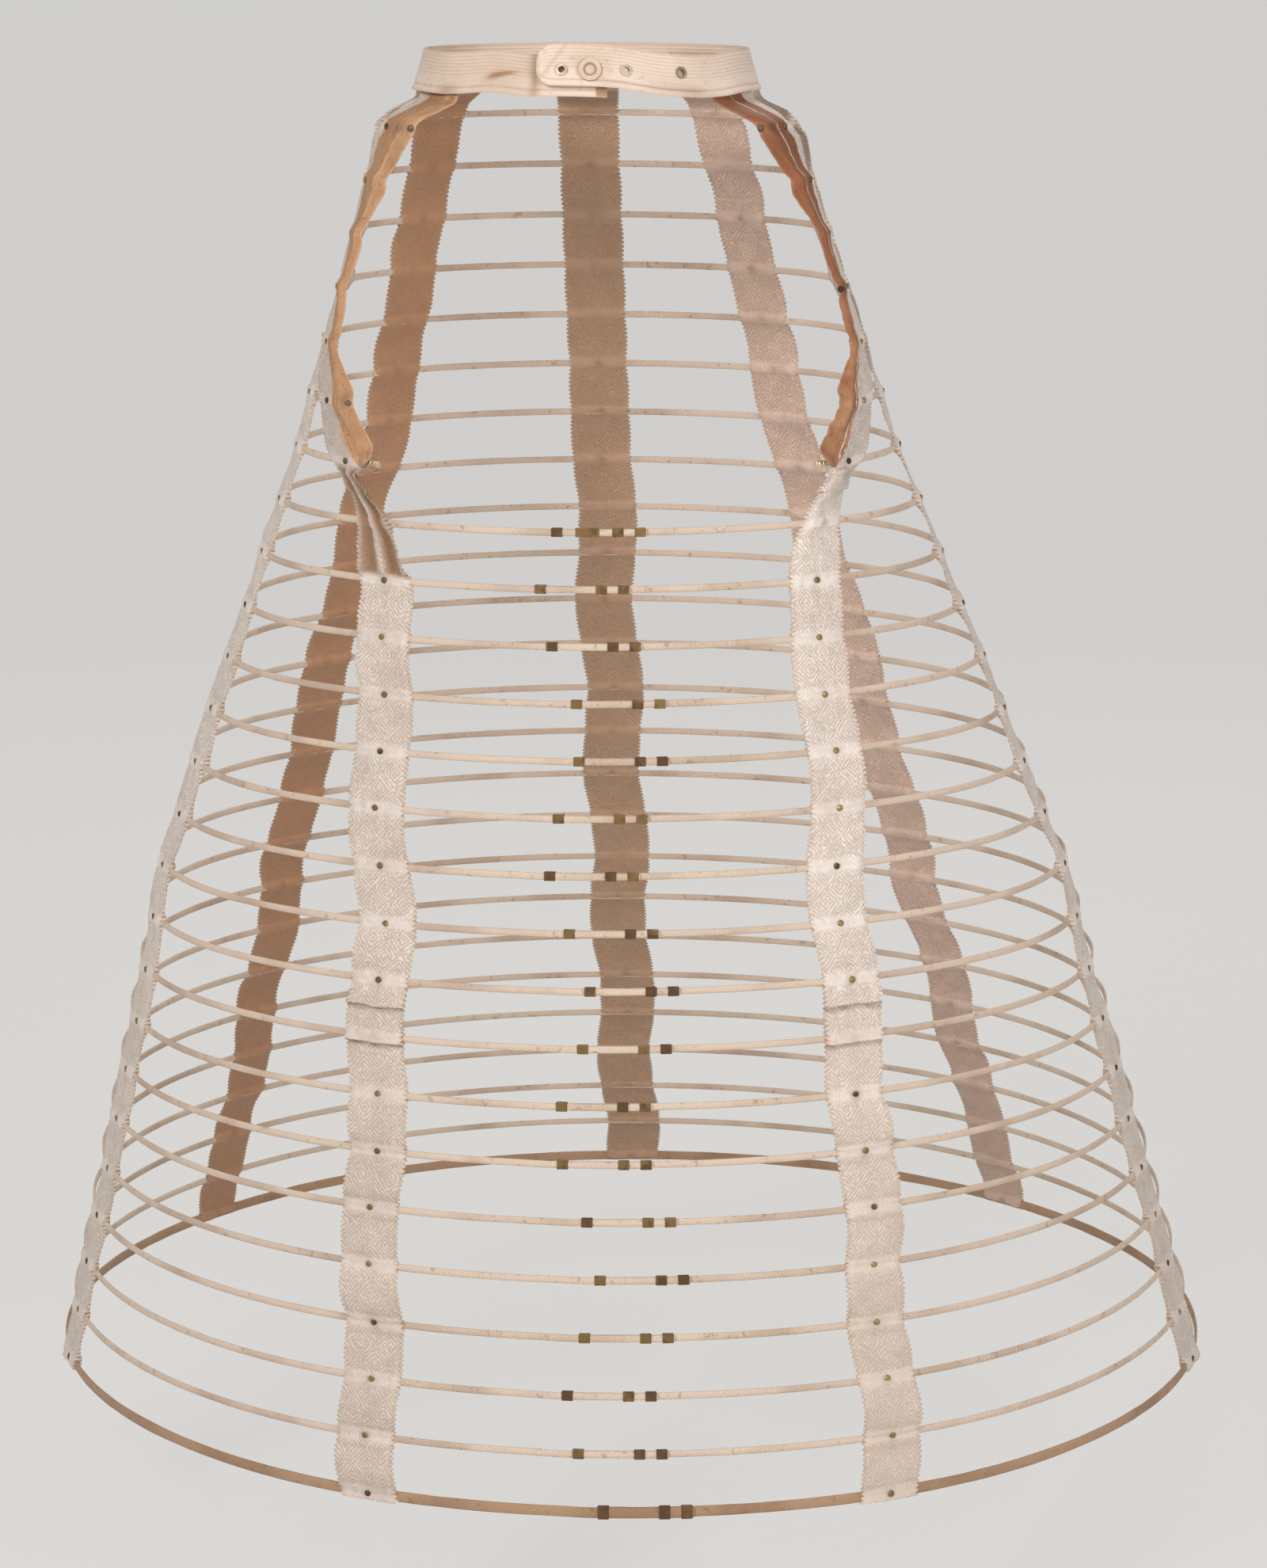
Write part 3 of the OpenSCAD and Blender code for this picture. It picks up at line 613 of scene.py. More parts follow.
class Shader:
    """A material's or a group's nodes, with short ways to add and join them."""

    def __init__(self, tree: bpy.types.NodeTree) -> None:
        """Starts on an empty tree.

        Args:
            tree: The node tree to fill.
        """
        self.tree = tree
        tree.nodes.clear()

    def add(self, kind: str, **values: object) -> bpy.types.Node:
        """Adds a node and sets its properties.

        Args:
            kind: Node type without its prefix.
            **values: Properties of the node.

        Returns:
            The node.
        """
        node = self.tree.nodes.new("ShaderNode" + kind)
        for name, value in values.items():
            setattr(node, name, value)
        return node

    def join(self, source: Socket, target: Socket) -> None:
        """Links two sockets."""
        self.tree.links.new(source, target)

    def put(self, target: Socket, value: object) -> None:
        """Links a socket, or sets a plain value on it."""
        if isinstance(value, Socket):
            self.join(value, target)
        else:
            target.default_value = value

    def math(self, operation: str, a: object, b: object = 0.0, clamp: bool = False) -> Socket:
        """Adds a sum of one or two values.

        Args:
            operation: Name of the Math node's operation.
            a: First value or socket.
            b: Second value or socket.
            clamp: True to keep the result between 0 and 1.

        Returns:
            The result's socket.
        """
        node = self.add("Math", operation=operation, use_clamp=clamp)
        self.put(node.inputs[0], a)
        self.put(node.inputs[1], b)
        return node.outputs[0]

    def blend(self, share: object, a: object, b: object) -> Socket:
        """Mixes two colours by a share."""
        node = self.add("Mix", data_type="RGBA")
        self.put(node.inputs["Factor"], share)
        self.put(node.inputs["A"], a if isinstance(a, Socket) else (*a, 1.0))
        self.put(node.inputs["B"], b if isinstance(b, Socket) else (*b, 1.0))
        return next(s for s in node.outputs if s.name == "Result" and s.type == "RGBA")

    def scale_add(self, value: object, share: float, base: object) -> Socket:
        """Adds a share of a value to a base."""
        node = self.add("Math", operation="MULTIPLY_ADD")
        for socket, given in zip(node.inputs, (value, share, base)):
            self.put(socket, given)
        return node.outputs[0]

    def layer(self, tone: object, *coats: tuple[object, object, object]) -> Socket:
        """Lays coats over a tone.

        Args:
            tone: The colour or socket underneath.
            *coats: For each coat its mask, the amount of it and its colour.

        Returns:
            The tone on top.
        """
        for mask, amount, colour in coats:
            tone = self.blend(self.math("MULTIPLY", mask, amount), tone, colour)
        return tone

    def noise(self, vector: Socket, scale: object, detail: float) -> Socket:
        """Adds a cloud of noise and returns its value."""
        node = self.add("TexNoise")
        self.put(node.inputs["Scale"], scale)
        node.inputs["Detail"].default_value = detail
        self.join(vector, node.inputs["Vector"])
        return node.outputs["Fac"]

    def streaks(self, vector: Socket, scale: Sequence[float], detail: float) -> Socket:
        """Adds noise that is scaled along each axis."""
        return self.noise(self.stretch(vector, scale), 1.0, detail)

    def cloth(self) -> Socket:
        """Millimetres across and along the piece's cloth."""
        return self.add("UVMap", uv_map=CLOTH_MAP).outputs[0]

    def place(self) -> Socket:
        """The object's own coordinates."""
        return self.add("TexCoord").outputs["Object"]

    def split(self, vector: Socket) -> tuple[Socket, Socket]:
        """The first two parts of a vector."""
        node = self.add("SeparateXYZ")
        self.join(vector, node.inputs[0])
        return node.outputs[0], node.outputs[1]

    def span(self, value: Socket, low: float, high: float) -> Socket:
        """Stretches a range of values to 0 to 1."""
        node = self.add("MapRange", clamp=True, interpolation_type="SMOOTHSTEP")
        node.inputs["From Min"].default_value = low
        node.inputs["From Max"].default_value = high
        self.join(value, node.inputs["Value"])
        return node.outputs["Result"]

    def stretch(self, vector: Socket, scale: Sequence[float]) -> Socket:
        """Scales a coordinate along its axes."""
        node = self.add("Mapping")
        node.inputs["Scale"].default_value = scale
        self.join(vector, node.inputs["Vector"])
        return node.outputs["Vector"]

    def mark(self, name: str) -> Socket:
        """Reads a number kept on the piece's points."""
        return self.add("Attribute", attribute_name=name).outputs["Fac"]

    def group(self, tree: bpy.types.NodeTree, **values: object) -> bpy.types.Node:
        """Places a shared group with its own values.

        Args:
            tree: The group's tree.
            **values: Values or sockets for its inputs, by name with underscores.

        Returns:
            The group's node.
        """
        node = self.add("Group", node_tree=tree)
        for name, value in values.items():
            self.put(node.inputs[name.replace("_", " ")], value)
        return node


class SharedEffects:
    """Node groups that several finishes use."""

    def __init__(self) -> None:
        """Builds the groups once."""
        self.huck: bpy.types.NodeTree = self._huck()
        self.braid: bpy.types.NodeTree = self._braid()
        self.age: bpy.types.NodeTree = self._age()

    @staticmethod
    def _start(name: str, inputs: Sequence[tuple[str, str]], outputs: Sequence[tuple[str, str]]) -> tuple:
        """Starts a group with its sockets.

        Args:
            name: Name of the group.
            inputs: Names and kinds of its inputs.
            outputs: Names and kinds of its outputs.

        Returns:
            The tree, its shader, its input node and its output node.
        """
        tree = bpy.data.node_groups.new(name, "ShaderNodeTree")
        shader = Shader(tree)
        for label, kind in inputs:
            tree.interface.new_socket(name=label, in_out="INPUT", socket_type="NodeSocket" + kind)
        for label, kind in outputs:
            tree.interface.new_socket(name=label, in_out="OUTPUT", socket_type="NodeSocket" + kind)
        return tree, shader, tree.nodes.new("NodeGroupInput"), tree.nodes.new("NodeGroupOutput")

    def _huck(self) -> bpy.types.NodeTree:
        """A bird's-eye weave: rings of small diamonds over fine threads, on millimetres of cloth."""
        tree, s, given, made = self._start(
            "huck_weave",
            [("Cloth", "Vector"), ("Diamond", "Float"), ("Line", "Float"), ("Thread", "Float")],
            [("Height", "Float"), ("Hollow", "Float")],
        )
        u, v = s.split(given.outputs["Cloth"])
        cell, line = given.outputs["Diamond"], given.outputs["Line"]
        rings = s.math("ADD", s.math("PINGPONG", u, cell), s.math("PINGPONG", v, cell))
        uneven = s.noise(given.outputs["Cloth"], 0.4, 2.0)
        rings = s.math("ADD", rings, s.math("MULTIPLY", uneven, s.math("MULTIPLY", line, 1.6)))
        wave = s.math("SINE", s.math("MULTIPLY", rings, s.math("DIVIDE", math.tau, line)))
        diamond = s.scale_add(wave, 0.5, 0.5)
        fine = s.math("DIVIDE", math.tau, given.outputs["Thread"])
        warp, weft = (s.math("SINE", s.math("MULTIPLY", axis, fine)) for axis in (u, v))
        s.join(s.scale_add(s.math("MULTIPLY", warp, weft), 0.22, diamond), made.inputs["Height"])
        s.join(s.span(diamond, 0.42, 0.12), made.inputs["Hollow"])
        return tree

    def _braid(self) -> bpy.types.NodeTree:
        """A tubular braid: strands that cross each other round a hoop."""
        tree, s, given, made = self._start(
            "hoop_braid",
            [("Cloth", "Vector"), ("Strand", "Float")],
            [("Height", "Float"), ("Hollow", "Float")],
        )
        v, u = s.split(given.outputs["Cloth"])
        full = s.math("DIVIDE", math.pi, given.outputs["Strand"])
        one, two = (
            s.math("ABSOLUTE", s.math("SINE", s.math("MULTIPLY", s.math(way, u, v), full)))
            for way in ("ADD", "SUBTRACT")
        )
        height = s.math("MULTIPLY", one, two)
        s.join(height, made.inputs["Height"])
        s.join(s.span(height, 0.3, 0.02), made.inputs["Hollow"])
        return tree

    def _age(self) -> bpy.types.NodeTree:
        """Blotches of age and handling, in two sizes, on the object's own coordinates."""
        tree, s, given, made = self._start(
            "age_blotches", [("Place", "Vector"), ("Size", "Float")], [("Broad", "Float"), ("Speck", "Float")]
        )
        place, size = given.outputs["Place"], given.outputs["Size"]
        broad = s.noise(place, s.math("DIVIDE", 1.0, size), 4.0)
        speck = s.noise(place, s.math("DIVIDE", 12.0, size), 2.0)
        s.join(s.span(broad, 0.42, 0.7), made.inputs["Broad"])
        s.join(s.span(speck, 0.6, 0.74), made.inputs["Speck"])
        return tree


Look = tuple[Socket, Socket, float]


@dataclass(frozen=True)
class Finish:
    """What every finish has: a name, a colour and a roughness."""

    name: str
    colour: Colour
    roughness: float

    def make(self, effects: SharedEffects) -> bpy.types.Material:
        """Builds the material.

        Args:
            effects: The shared node groups.

        Returns:
            The material.
        """
        material = bpy.data.materials.new(self.name)
        material.use_nodes = True
        s = Shader(material.node_tree)
        surface = s.add("BsdfPrincipled")
        surface.inputs["Roughness"].default_value = self.roughness
        s.join(surface.outputs[0], s.add("OutputMaterial").inputs[0])
        tone, height, depth = self.paint(s, surface, effects)
        s.join(tone, surface.inputs["Base Color"])
        bump = s.add("Bump")
        bump.inputs["Distance"].default_value = depth * MM
        bump.inputs["Strength"].default_value = 1.0
        s.join(height, bump.inputs["Height"])
        s.join(bump.outputs["Normal"], surface.inputs["Normal"])
        return material

    def paint(self, s: Shader, surface: bpy.types.Node, effects: SharedEffects) -> Look:
        """Works out the looks of the surface.

        Args:
            s: The material's nodes.
            surface: Its Principled shader.
            effects: The shared node groups.

        Returns:
            Its tone, its relief and the relief's depth in millimetres.
        """
        raise NotImplementedError

    def scaled(self, *shares: float) -> Colour:
        """The finish's colour with each channel times its share."""
        return tuple(c * share for c, share in zip(self.colour, shares))


@dataclass(frozen=True)
class TapeCotton(Finish):
    """Huckaback cotton tape: paler at its pockets, rusted round its studs, and browner inside, partly stained
    and partly painted shade.
    """

    tan: Colour = (0.40, 0.24, 0.13)
    inner_tan: float = 0.35
    soil: float = 0.25

    def paint(self, s: Shader, surface: bpy.types.Node, effects: SharedEffects) -> Look:
        """Weaves the cloth, soils and rusts it, browns its inner face partly as stains and partly as painted
        shade, and paints shade towards the hem, in its creases and in its fold.
        """
        cloth = s.cloth()
        weave = s.group(effects.huck, Cloth=cloth, Diamond=11.0, Line=3.1, Thread=0.9)
        age = s.group(effects.age, Place=s.place(), Size=0.045)
        pocket = s.mark("pocket")
        grey, shade = self.scaled(0.90, 0.915, 0.955), self.scaled(0.76, 0.755, 0.765)
        deep = self.scaled(0.64, 0.585, 0.54)
        slub = s.streaks(cloth, (0.22, 0.3, 1.0), 3.0)
        blotch = s.streaks(cloth, (0.07, 0.085, 1.0), 4.0)
        tone = s.layer(
            self.colour,
            (pocket, 0.8, grey),
            (s.span(blotch, 0.42, 0.66), 0.55, shade),
            (s.span(slub, 0.46, 0.64), 0.4, shade),
            (weave.outputs["Hollow"], s.scale_add(pocket, -0.6, 0.85), deep),
            # painted shade that deepens towards the hem
            (s.mark("soil"), self.soil, deep),
            (age.outputs["Broad"], 0.35, deep),
            (age.outputs["Speck"], 0.25, (0.42, 0.28, 0.16)),
            # inner face browner, partly stained and partly painted shade
            (s.mark("inside"), self.inner_tan, self.tan),
            (s.mark("edge"), 0.35, (0.50, 0.36, 0.24)),
            # painted shade: brown in the creases under the two tucks and beside the lower pockets
            (s.mark("crease"), 0.7, (0.30, 0.19, 0.11)),
            (s.mark("rust"), 0.75, (0.22, 0.12, 0.055)),
        )
        surface.inputs["Sheen Weight"].default_value = 0.15
        surface.inputs["Sheen Roughness"].default_value = 0.5
        fuzz = s.streaks(cloth, (2.2, 2.2, 1.0), 2.0)
        height = s.math("MULTIPLY", weave.outputs["Height"], s.scale_add(pocket, -0.7, 1.0))
        return tone, s.scale_add(fuzz, 0.5, height), 0.45


@dataclass(frozen=True)
class HoopBraid(Finish):
    """Cotton braid over a steel strip, browned and fuzzy in places."""

    brown: Colour = (0.30, 0.17, 0.09)

    def paint(self, s: Shader, surface: bpy.types.Node, effects: SharedEffects) -> Look:
        """Braids the cover and browns it."""
        cloth = s.cloth()
        braid = s.group(effects.braid, Cloth=cloth, Strand=1.9)
        age = s.group(effects.age, Place=s.place(), Size=0.06)
        tone = s.layer(
            self.colour,
            (braid.outputs["Hollow"], 0.55, self.scaled(0.66, 0.56, 0.47)),
            (age.outputs["Broad"], 0.4, self.brown),
            (age.outputs["Speck"], 0.5, self.brown),
        )
        surface.inputs["Sheen Weight"].default_value = 0.12
        fuzz = s.streaks(cloth, (3.0, 3.0, 1.0), 2.0)
        return tone, s.scale_add(fuzz, 0.35, braid.outputs["Height"]), 0.4


@dataclass(frozen=True)
class BandCotton(Finish):
    """Ribbed cotton band with lengthwise cords, old stains, and painted shade and shadow."""

    stain: Colour = (0.33, 0.19, 0.10)

    def paint(self, s: Shader, surface: bpy.types.Node, effects: SharedEffects) -> Look:
        """Cords the band, stains it and paints shade and shadow on it."""
        cloth = s.cloth()
        threads = s.streaks(cloth, (2.4, 0.5, 1.0), 3.0)
        age = s.group(effects.age, Place=s.place(), Size=0.05)
        deep = self.scaled(0.70, 0.60, 0.52)
        tone = s.layer(
            self.colour,
            # painted shade in the hollows between the cords and along the hem line
            (s.mark("rib"), 0.55, deep),
            (s.span(threads, 0.5, 0.72), 0.25, deep),
            (age.outputs["Broad"], 0.45, deep),
            (age.outputs["Speck"], 0.25, self.stain),
            # stains, with the painted shadow of the tab's end
            (s.mark("stain"), 0.8, self.stain),
            # the rims and the tab's end are darkened: partly wear and stitching, partly painted shade along
            # the tab's outline
            (s.mark("edge"), 0.65, deep),
        )
        surface.inputs["Sheen Weight"].default_value = 0.15
        fuzz = s.streaks(cloth, (2.0, 2.0, 1.0), 2.0)
        return tone, s.scale_add(threads, 0.5, s.math("MULTIPLY", fuzz, 0.5)), 0.35


@dataclass(frozen=True)
class FacingLeather(Finish):
    """Thin leather with wear, mottled and rubbed pale at its edges."""

    dark: Colour = (0.10, 0.035, 0.015)
    mottling: float = 0.5
    seam: Colour = (0.72, 0.58, 0.44)
    seam_share: float = 0.5
    faded: Colour = (0.46, 0.25, 0.125)
    fade_share: float = 0.0

    def paint(self, s: Shader, surface: bpy.types.Node, effects: SharedEffects) -> Look:
        """Mottles the leather, creases it and rubs its edges."""
        place = s.place()
        age = s.group(effects.age, Place=place, Size=0.03)
        grain = s.add("TexVoronoi", feature="F1")
        grain.inputs["Scale"].default_value = 900.0
        s.join(place, grain.inputs["Vector"])
        crease = s.streaks(s.cloth(), (0.45, 0.08, 1.0), 5.0)
        pale = tuple(min(1.0, c * 1.25 + 0.08) for c in self.colour)
        deep = self.scaled(0.55, 0.45, 0.40)
        tone = s.layer(
            self.colour,
            # paler towards the lower end
            (s.mark("fade"), self.fade_share, self.faded),
            (age.outputs["Broad"], self.mottling, deep),
            (s.span(crease, 0.50, 0.72), 0.22, pale),
            (s.span(crease, 0.48, 0.30), 0.28, deep),
            (age.outputs["Speck"], 0.5, self.dark),
            (s.mark("edge"), 0.6, pale),
            (s.mark("seam"), self.seam_share, self.seam),
            (s.mark("rust"), 0.85, self.dark),
        )
        s.join(s.scale_add(crease, 0.25, self.roughness - 0.12), surface.inputs["Roughness"])
        return tone, s.scale_add(grain.outputs["Distance"], 0.5, crease), 0.35


@dataclass(frozen=True)
class OldMetal(Finish):
    """Tarnished sheet metal with rubbed bright spots."""

    tarnish: Colour = (0.07, 0.045, 0.02)
    amount: float = 0.8

    def paint(self, s: Shader, surface: bpy.types.Node, effects: SharedEffects) -> Look:
        """Tarnishes the metal in patches."""
        place = s.place()
        age = s.group(effects.age, Place=place, Size=0.006)
        turned = s.span(s.streaks(place, (34.0, 34.0, 34.0), 0.0), 0.40, 0.60)
        cover = s.math("MULTIPLY", s.math("ADD", age.outputs["Broad"], turned), self.amount, clamp=True)
        s.join(s.scale_add(cover, -0.55, 1.0), surface.inputs["Metallic"])
        s.join(s.scale_add(cover, 0.3, self.roughness), surface.inputs["Roughness"])
        pits = s.streaks(place, (1500.0, 1500.0, 1500.0), 3.0)
        return s.blend(cover, self.colour, self.tarnish), pits, 0.08


@dataclass(frozen=True)
class ButtonCloth(Finish):
    """Cloth stretched over a ring button."""

    shade: Colour = (0.25, 0.14, 0.075)

    def paint(self, s: Shader, surface: bpy.types.Node, effects: SharedEffects) -> Look:
        """Weaves the cloth and paints shadow into the sunk ring and under the foot."""
        place = s.place()
        age = s.group(effects.age, Place=place, Size=0.012)
        cloth = s.stretch(place, (1000.0, 1000.0, 1000.0))
        weave = s.group(effects.huck, Cloth=cloth, Diamond=1.4, Line=0.9, Thread=0.6)
        deep = self.scaled(0.62, 0.50, 0.40)
        tone = s.layer(
            self.colour,
            (age.outputs["Broad"], 0.4, deep),
            (weave.outputs["Hollow"], 0.3, deep),
            # painted shadow in the sunk ring and under the foot
            (s.mark("groove"), 0.8, self.shade),
        )
        return tone, weave.outputs["Height"], 0.12


def blur(rows: Array, width: float) -> Array:
    """Rounds the corners of a sampled course.

    Args:
        rows: Samples along the first axis, evenly spaced.
        width: Spread of the rounding, in samples.

    Returns:
        The rounded samples.
    """
    reach = int(math.ceil(3 * width))
    weights = np.exp(-0.5 * (np.arange(-reach, reach + 1) / width) ** 2)
    weights /= weights.sum()
    padded = np.concatenate([
        2 * rows[:1] - rows[reach:0:-1], rows, 2 * rows[-1:] - rows[-2:-reach - 2:-1]
    ])
    return np.stack([
        np.convolve(padded[:, i], weights, mode="valid") for i in range(rows.shape[1])
    ], axis=1)


@dataclass(frozen=True)
class TapeCloth:
    """A tape's points before they are shaped.

    Attributes:
        v: Distance of each row along the tape.
        s: Share across the tape, for each point.
        side: 1 on the outer face and -1 on the inner face, for each point.
        row: Row of each point.
        nearest: Nearest hoop of each row.
        delta: Distance of each row below that hoop.
    """

    v: Array
    s: Array
    side: Array
    row: Array
    nearest: Array
    delta: Array

    @property
    def u(self) -> Array:
        """Millimetres of each point from the tape's middle line."""
        return (self.s - 0.5) * FORM.tape_width

    @property
    def height(self) -> Array:
        """How many hoops down the cage each row is."""
        return self.nearest + self.delta / FORM.hoop_pitch

    @property
    def below_tuck(self) -> Array:
        """Distance of each row below the ninth full hoop, where the tucks start."""
        first = FORM.half_hoops + 8
        second = np.where(self.nearest == first + 1, self.delta + FORM.hoop_pitch, FAR_ABOVE)
        return np.where(self.nearest == first, self.delta, second)

    @property
    def fold_strength(self) -> Array:
        """How strongly each row is folded lengthwise."""
        return smooth((self.height - 6.05) / 0.25) * smooth((7.97 - self.height) / 0.16)


@dataclass
class WovenTape:
    """One pocketed tape: a flat tube of cloth with a picot edge, opened round each hoop."""

    tape: Tape
    finish: bpy.types.Material
    row_step: float = 1.05
    spans: int = 16
    picot: float = 1.7
    loop_rows: int = 3
    round_spread: float = 2.6
    band_clear: float = 12.0
    ripple: float = 1.1
    pucker: float = 0.7
    pocket_roll: float = 2.4
    low_slack: float = 1.6
    side_bow: float = 0.7
    side_turns: tuple[float, float, float] = (1.8, -1.0, 1.8)
    noise: SoftNoise = field(init=False)

    def __post_init__(self) -> None:
        """Draws the tape's own noise."""
        self.noise = SoftNoise(40 + self.tape.value)

    def course(self) -> tuple[Array, Array, Array, Array, Array, list[float]]:
        """Follows the tape from the waist to the hem.

        Returns:
            Distances along the tape, its left edge, its right edge, its outward directions, its
            fall across the width, and the distance of each hoop.
        """
        half = FORM.tape_width / 2
        left, right, out, sags, hoops = [], [], [], [], []

        def add(spot: Spot, u: float, z: float, n: float, sag: float) -> None:
            """Adds one row of the course."""
            left.append(spot.place(u - half, z, n - sag))
            right.append(spot.place(u + half, z, n - sag))
            out.append(spot.n)
            sags.append(sag)

        for z in (FORM.tape_top, FORM.tape_exit):
            add(FORM.at_waist(self.tape, z), 0, 0, 0, 0)
        for k in range(FORM.hem + 1):
            spot = FORM.crossing(self.tape, k)
            lean_u, lean_n = FORM.leans(self.tape, k)
            reach = FORM.pocket_rise(k) + FORM.pocket_taper
            low = -FORM.pocket_rise(k) - FORM.tape_layer if k == FORM.hem else -reach
            sag = FORM.sag(FORM.crossing_radius(self.tape, k))
            for z in (reach, 0.0, low):
                if z == 0.0:
                    hoops.append(len(left))
                add(spot, z * lean_u, z, z * lean_n, sag)
        distance = distances((np.array(left) + np.array(right)) / 2)
        count = int(round(distance[-1] / self.row_step))
        samples = np.linspace(0.0, distance[-1], count + 1)

        def follow(values: Sequence) -> Array:
            """Samples a row value along the tape."""
            return resample(samples, distance, np.array(values, float).reshape(len(distance), -1))

        spread = self.round_spread / self.row_step
        rounded = blur(follow(left), spread), blur(follow(right), spread), blur(follow(out), spread)
        normals = rounded[2] / np.linalg.norm(rounded[2], axis=1, keepdims=True)
        return samples, rounded[0], rounded[1], normals, follow(sags)[:, 0], [distance[i] for i in hoops]

    def build(self) -> bpy.types.Object:
        """Models the tape and dresses it.

        Returns:
            The finished piece.
        """
        v, left, right, out, sag, hoops = self.course()
        rows, loop = len(v) - 1, 2 * self.spans + 2
        piece = Bench.grid(f"woven_tape_{self.tape.label}", loop, rows)
        column, row = Bench.grid_places(piece, loop, rows)
        shares = np.linspace(0.0, 1.0, self.spans + 1)
        share = np.concatenate([shares, shares[::-1], shares[:1]])
        face = np.concatenate([np.ones(self.spans + 1), -np.ones(self.spans + 1), [1.0]])
        nearest = np.abs(v[:, None] - np.array(hoops)[None, :]).argmin(axis=1)
        delta = v - np.array(hoops)[nearest]
        cloth = TapeCloth(v, share[column], face[column], row, nearest, delta)
        s = cloth.s
        rise = np.array([FORM.pocket_rise(int(k)) for k in nearest])
        openness = 1 - smooth((np.abs(delta) - rise) / self.pocket_roll)
        openness[v < hoops[0] - self.band_clear] = 0.0
        thick = FORM.tape_layer + (FORM.hoop_thickness / 2 + FORM.pocket_clearance) * openness
        relief, narrow = self.relief(cloth)
        edge_share = np.where(np.isclose(s, 0) | np.isclose(s, 1), 1.0, 0.0)
        width = np.linalg.norm(right - left, axis=1)[row]
        teeth = edge_share * self.picot * (row % self.loop_rows > 0) * np.where(s < 0.5, -1.0, 1.0)
        centred = 0.5 + (s - 0.5) * narrow[row] + teeth / width
        crown = sag[row] * (1 - (2 * s - 1) ** 2)
        lift = crown + cloth.side * thick[row] * np.where(edge_share > 0, 0.55, 1.0) + relief
        flat = left[row] + (right - left)[row] * centred[:, None]
        Bench.shape(piece, flat + out[row] * lift[:, None])
        Bench.lay_out(piece, share * FORM.tape_width, v, loop, rows)
        self.mark_points(piece, cloth, len(hoops), edge_share)
        Bench.close(piece)
        Bench.soften(piece, 60.0)
        Bench.hand_over(piece, f"tape_{self.tape.label}", "tape_cotton", self.finish)
        return piece

    def relief(self, cloth: TapeCloth) -> tuple[Array, Array]:
        """Works out the cloth's ripples, puckers, tucks and folds.

        Args:
            cloth: The tape's points.

        Returns:
            The outward offset of each point, and the share of the width that each row keeps.
        """
        v, s, side, row, delta, u = cloth.v, cloth.s, cloth.side, cloth.row, cloth.delta, cloth.u
        along = v[row]
        tight = bell(delta / 9.0)
        free = 1 - bell(delta / 7.0)
        broad = self.noise.at(u / 24 + 7, along / 17) * self.ripple * free[row]
        curl = self.noise.at(along / 33, np.where(u < 0, 3.5, 19.5)) * (np.abs(u) / 20) ** 2 * 1.4 * free[row]
        pleat = cloth.nearest[row] * 5.3 + np.sign(delta[row]) * 0.4
        fine = (self.noise.at(u / 3.1 + 20, pleat) + 0.6).clip(0)
        gather = side * fine * self.pucker * tight[row] * np.clip(np.abs(u) / 5, 0, 1) ** 2
        offset = broad + curl + gather + self.billow(cloth)[row]
        narrow = 1 - 0.05 * tight + 0.02 * self.noise.at(v / 21, 40.5)
        if self.tape.is_front:
            offset = offset * (0.1 + 0.9 * smooth((cloth.height - 5.9) / 0.4))[row]
            uneven = 1 + 0.35 * self.noise.at(u / 7, along / 9)
            below = cloth.below_tuck[row] + self.wander(u)
            ruche = 0.8 * self.noise.at(u / 2.8 + 31, 7.5)
            ruche = ruche * smooth(below / 3) * smooth((15 - below) / 5)
            offset = offset + np.where(side > 0, self.tuck(below) * uneven + ruche, 0.0)
            rise, slim = self.fold(cloth)
            offset = offset + rise * np.where(side > 0, 1.0, free[row])
            narrow = narrow * slim
        elif self.tape.is_side:
            left, upper, lower = self.side_turns
            low = smooth((cloth.height - FORM.knee_hoop - 1) / 2)
            turn = np.full(len(v), left) if self.tape is Tape.SIDE_LEFT else upper + (lower - upper) * low
            turn = turn * (1 + 0.7 * self.noise.at(v / 45, 12.5)) * self.tape.side
            lean = turn[row] * (2 * s - 1)
            kept = np.where(side > 0, lean.clip(0), lean.clip(None, 0))
            offset = offset + self.side_bow * free[row] + kept + (lean - kept) * free[row]
        return offset, narrow

    def billow(self, cloth: TapeCloth) -> Array:
        """How far each row bows out between hoops: most on the lower front tapes, not at the sides."""
        if self.tape.is_side:
            return np.zeros(len(cloth.delta))
        height = cloth.height.clip(0, FORM.hem)
        gap = np.floor(height).astype(int)
        bows = np.array([FORM.slack(self.tape, k) for k in range(FORM.hem + 1)])
        if self.tape.is_front:
            low = smooth((np.arange(FORM.hem + 1) - FORM.knee_hoop) / 4)
            bows = bows * (0.6 + 0.5 * low) + self.low_slack * low
        return bows[gap] * np.sin(np.pi * (height - gap))

    def wander(self, u: Array) -> Array:
        """How far the tucks' edges stray from straight across the tape."""
        return 1.7 * self.noise.at(u / 8 + 13, 60.5)

    @staticmethod
    def tuck(below: Array) -> Array:
        """Raises the two sewn tucks that shorten each front tape below the ninth full hoop.

        Args:
            below: Distance of each point below that hoop.

        Returns:
            The rise of each point: each tuck swells downward and ends in a sharp step.
        """
        upper = smooth((below - 4.5) / 3.0) * (0.6 + 2.2 * np.clip((below - 4.5) / 11, 0, 1))
        lower = smooth((below - 18) / 5.0) * (0.3 + 2.2 * np.clip((below - 18) / 20, 0, 1))
        return upper * smooth(16.8 - below) + lower * smooth(40.0 - below)

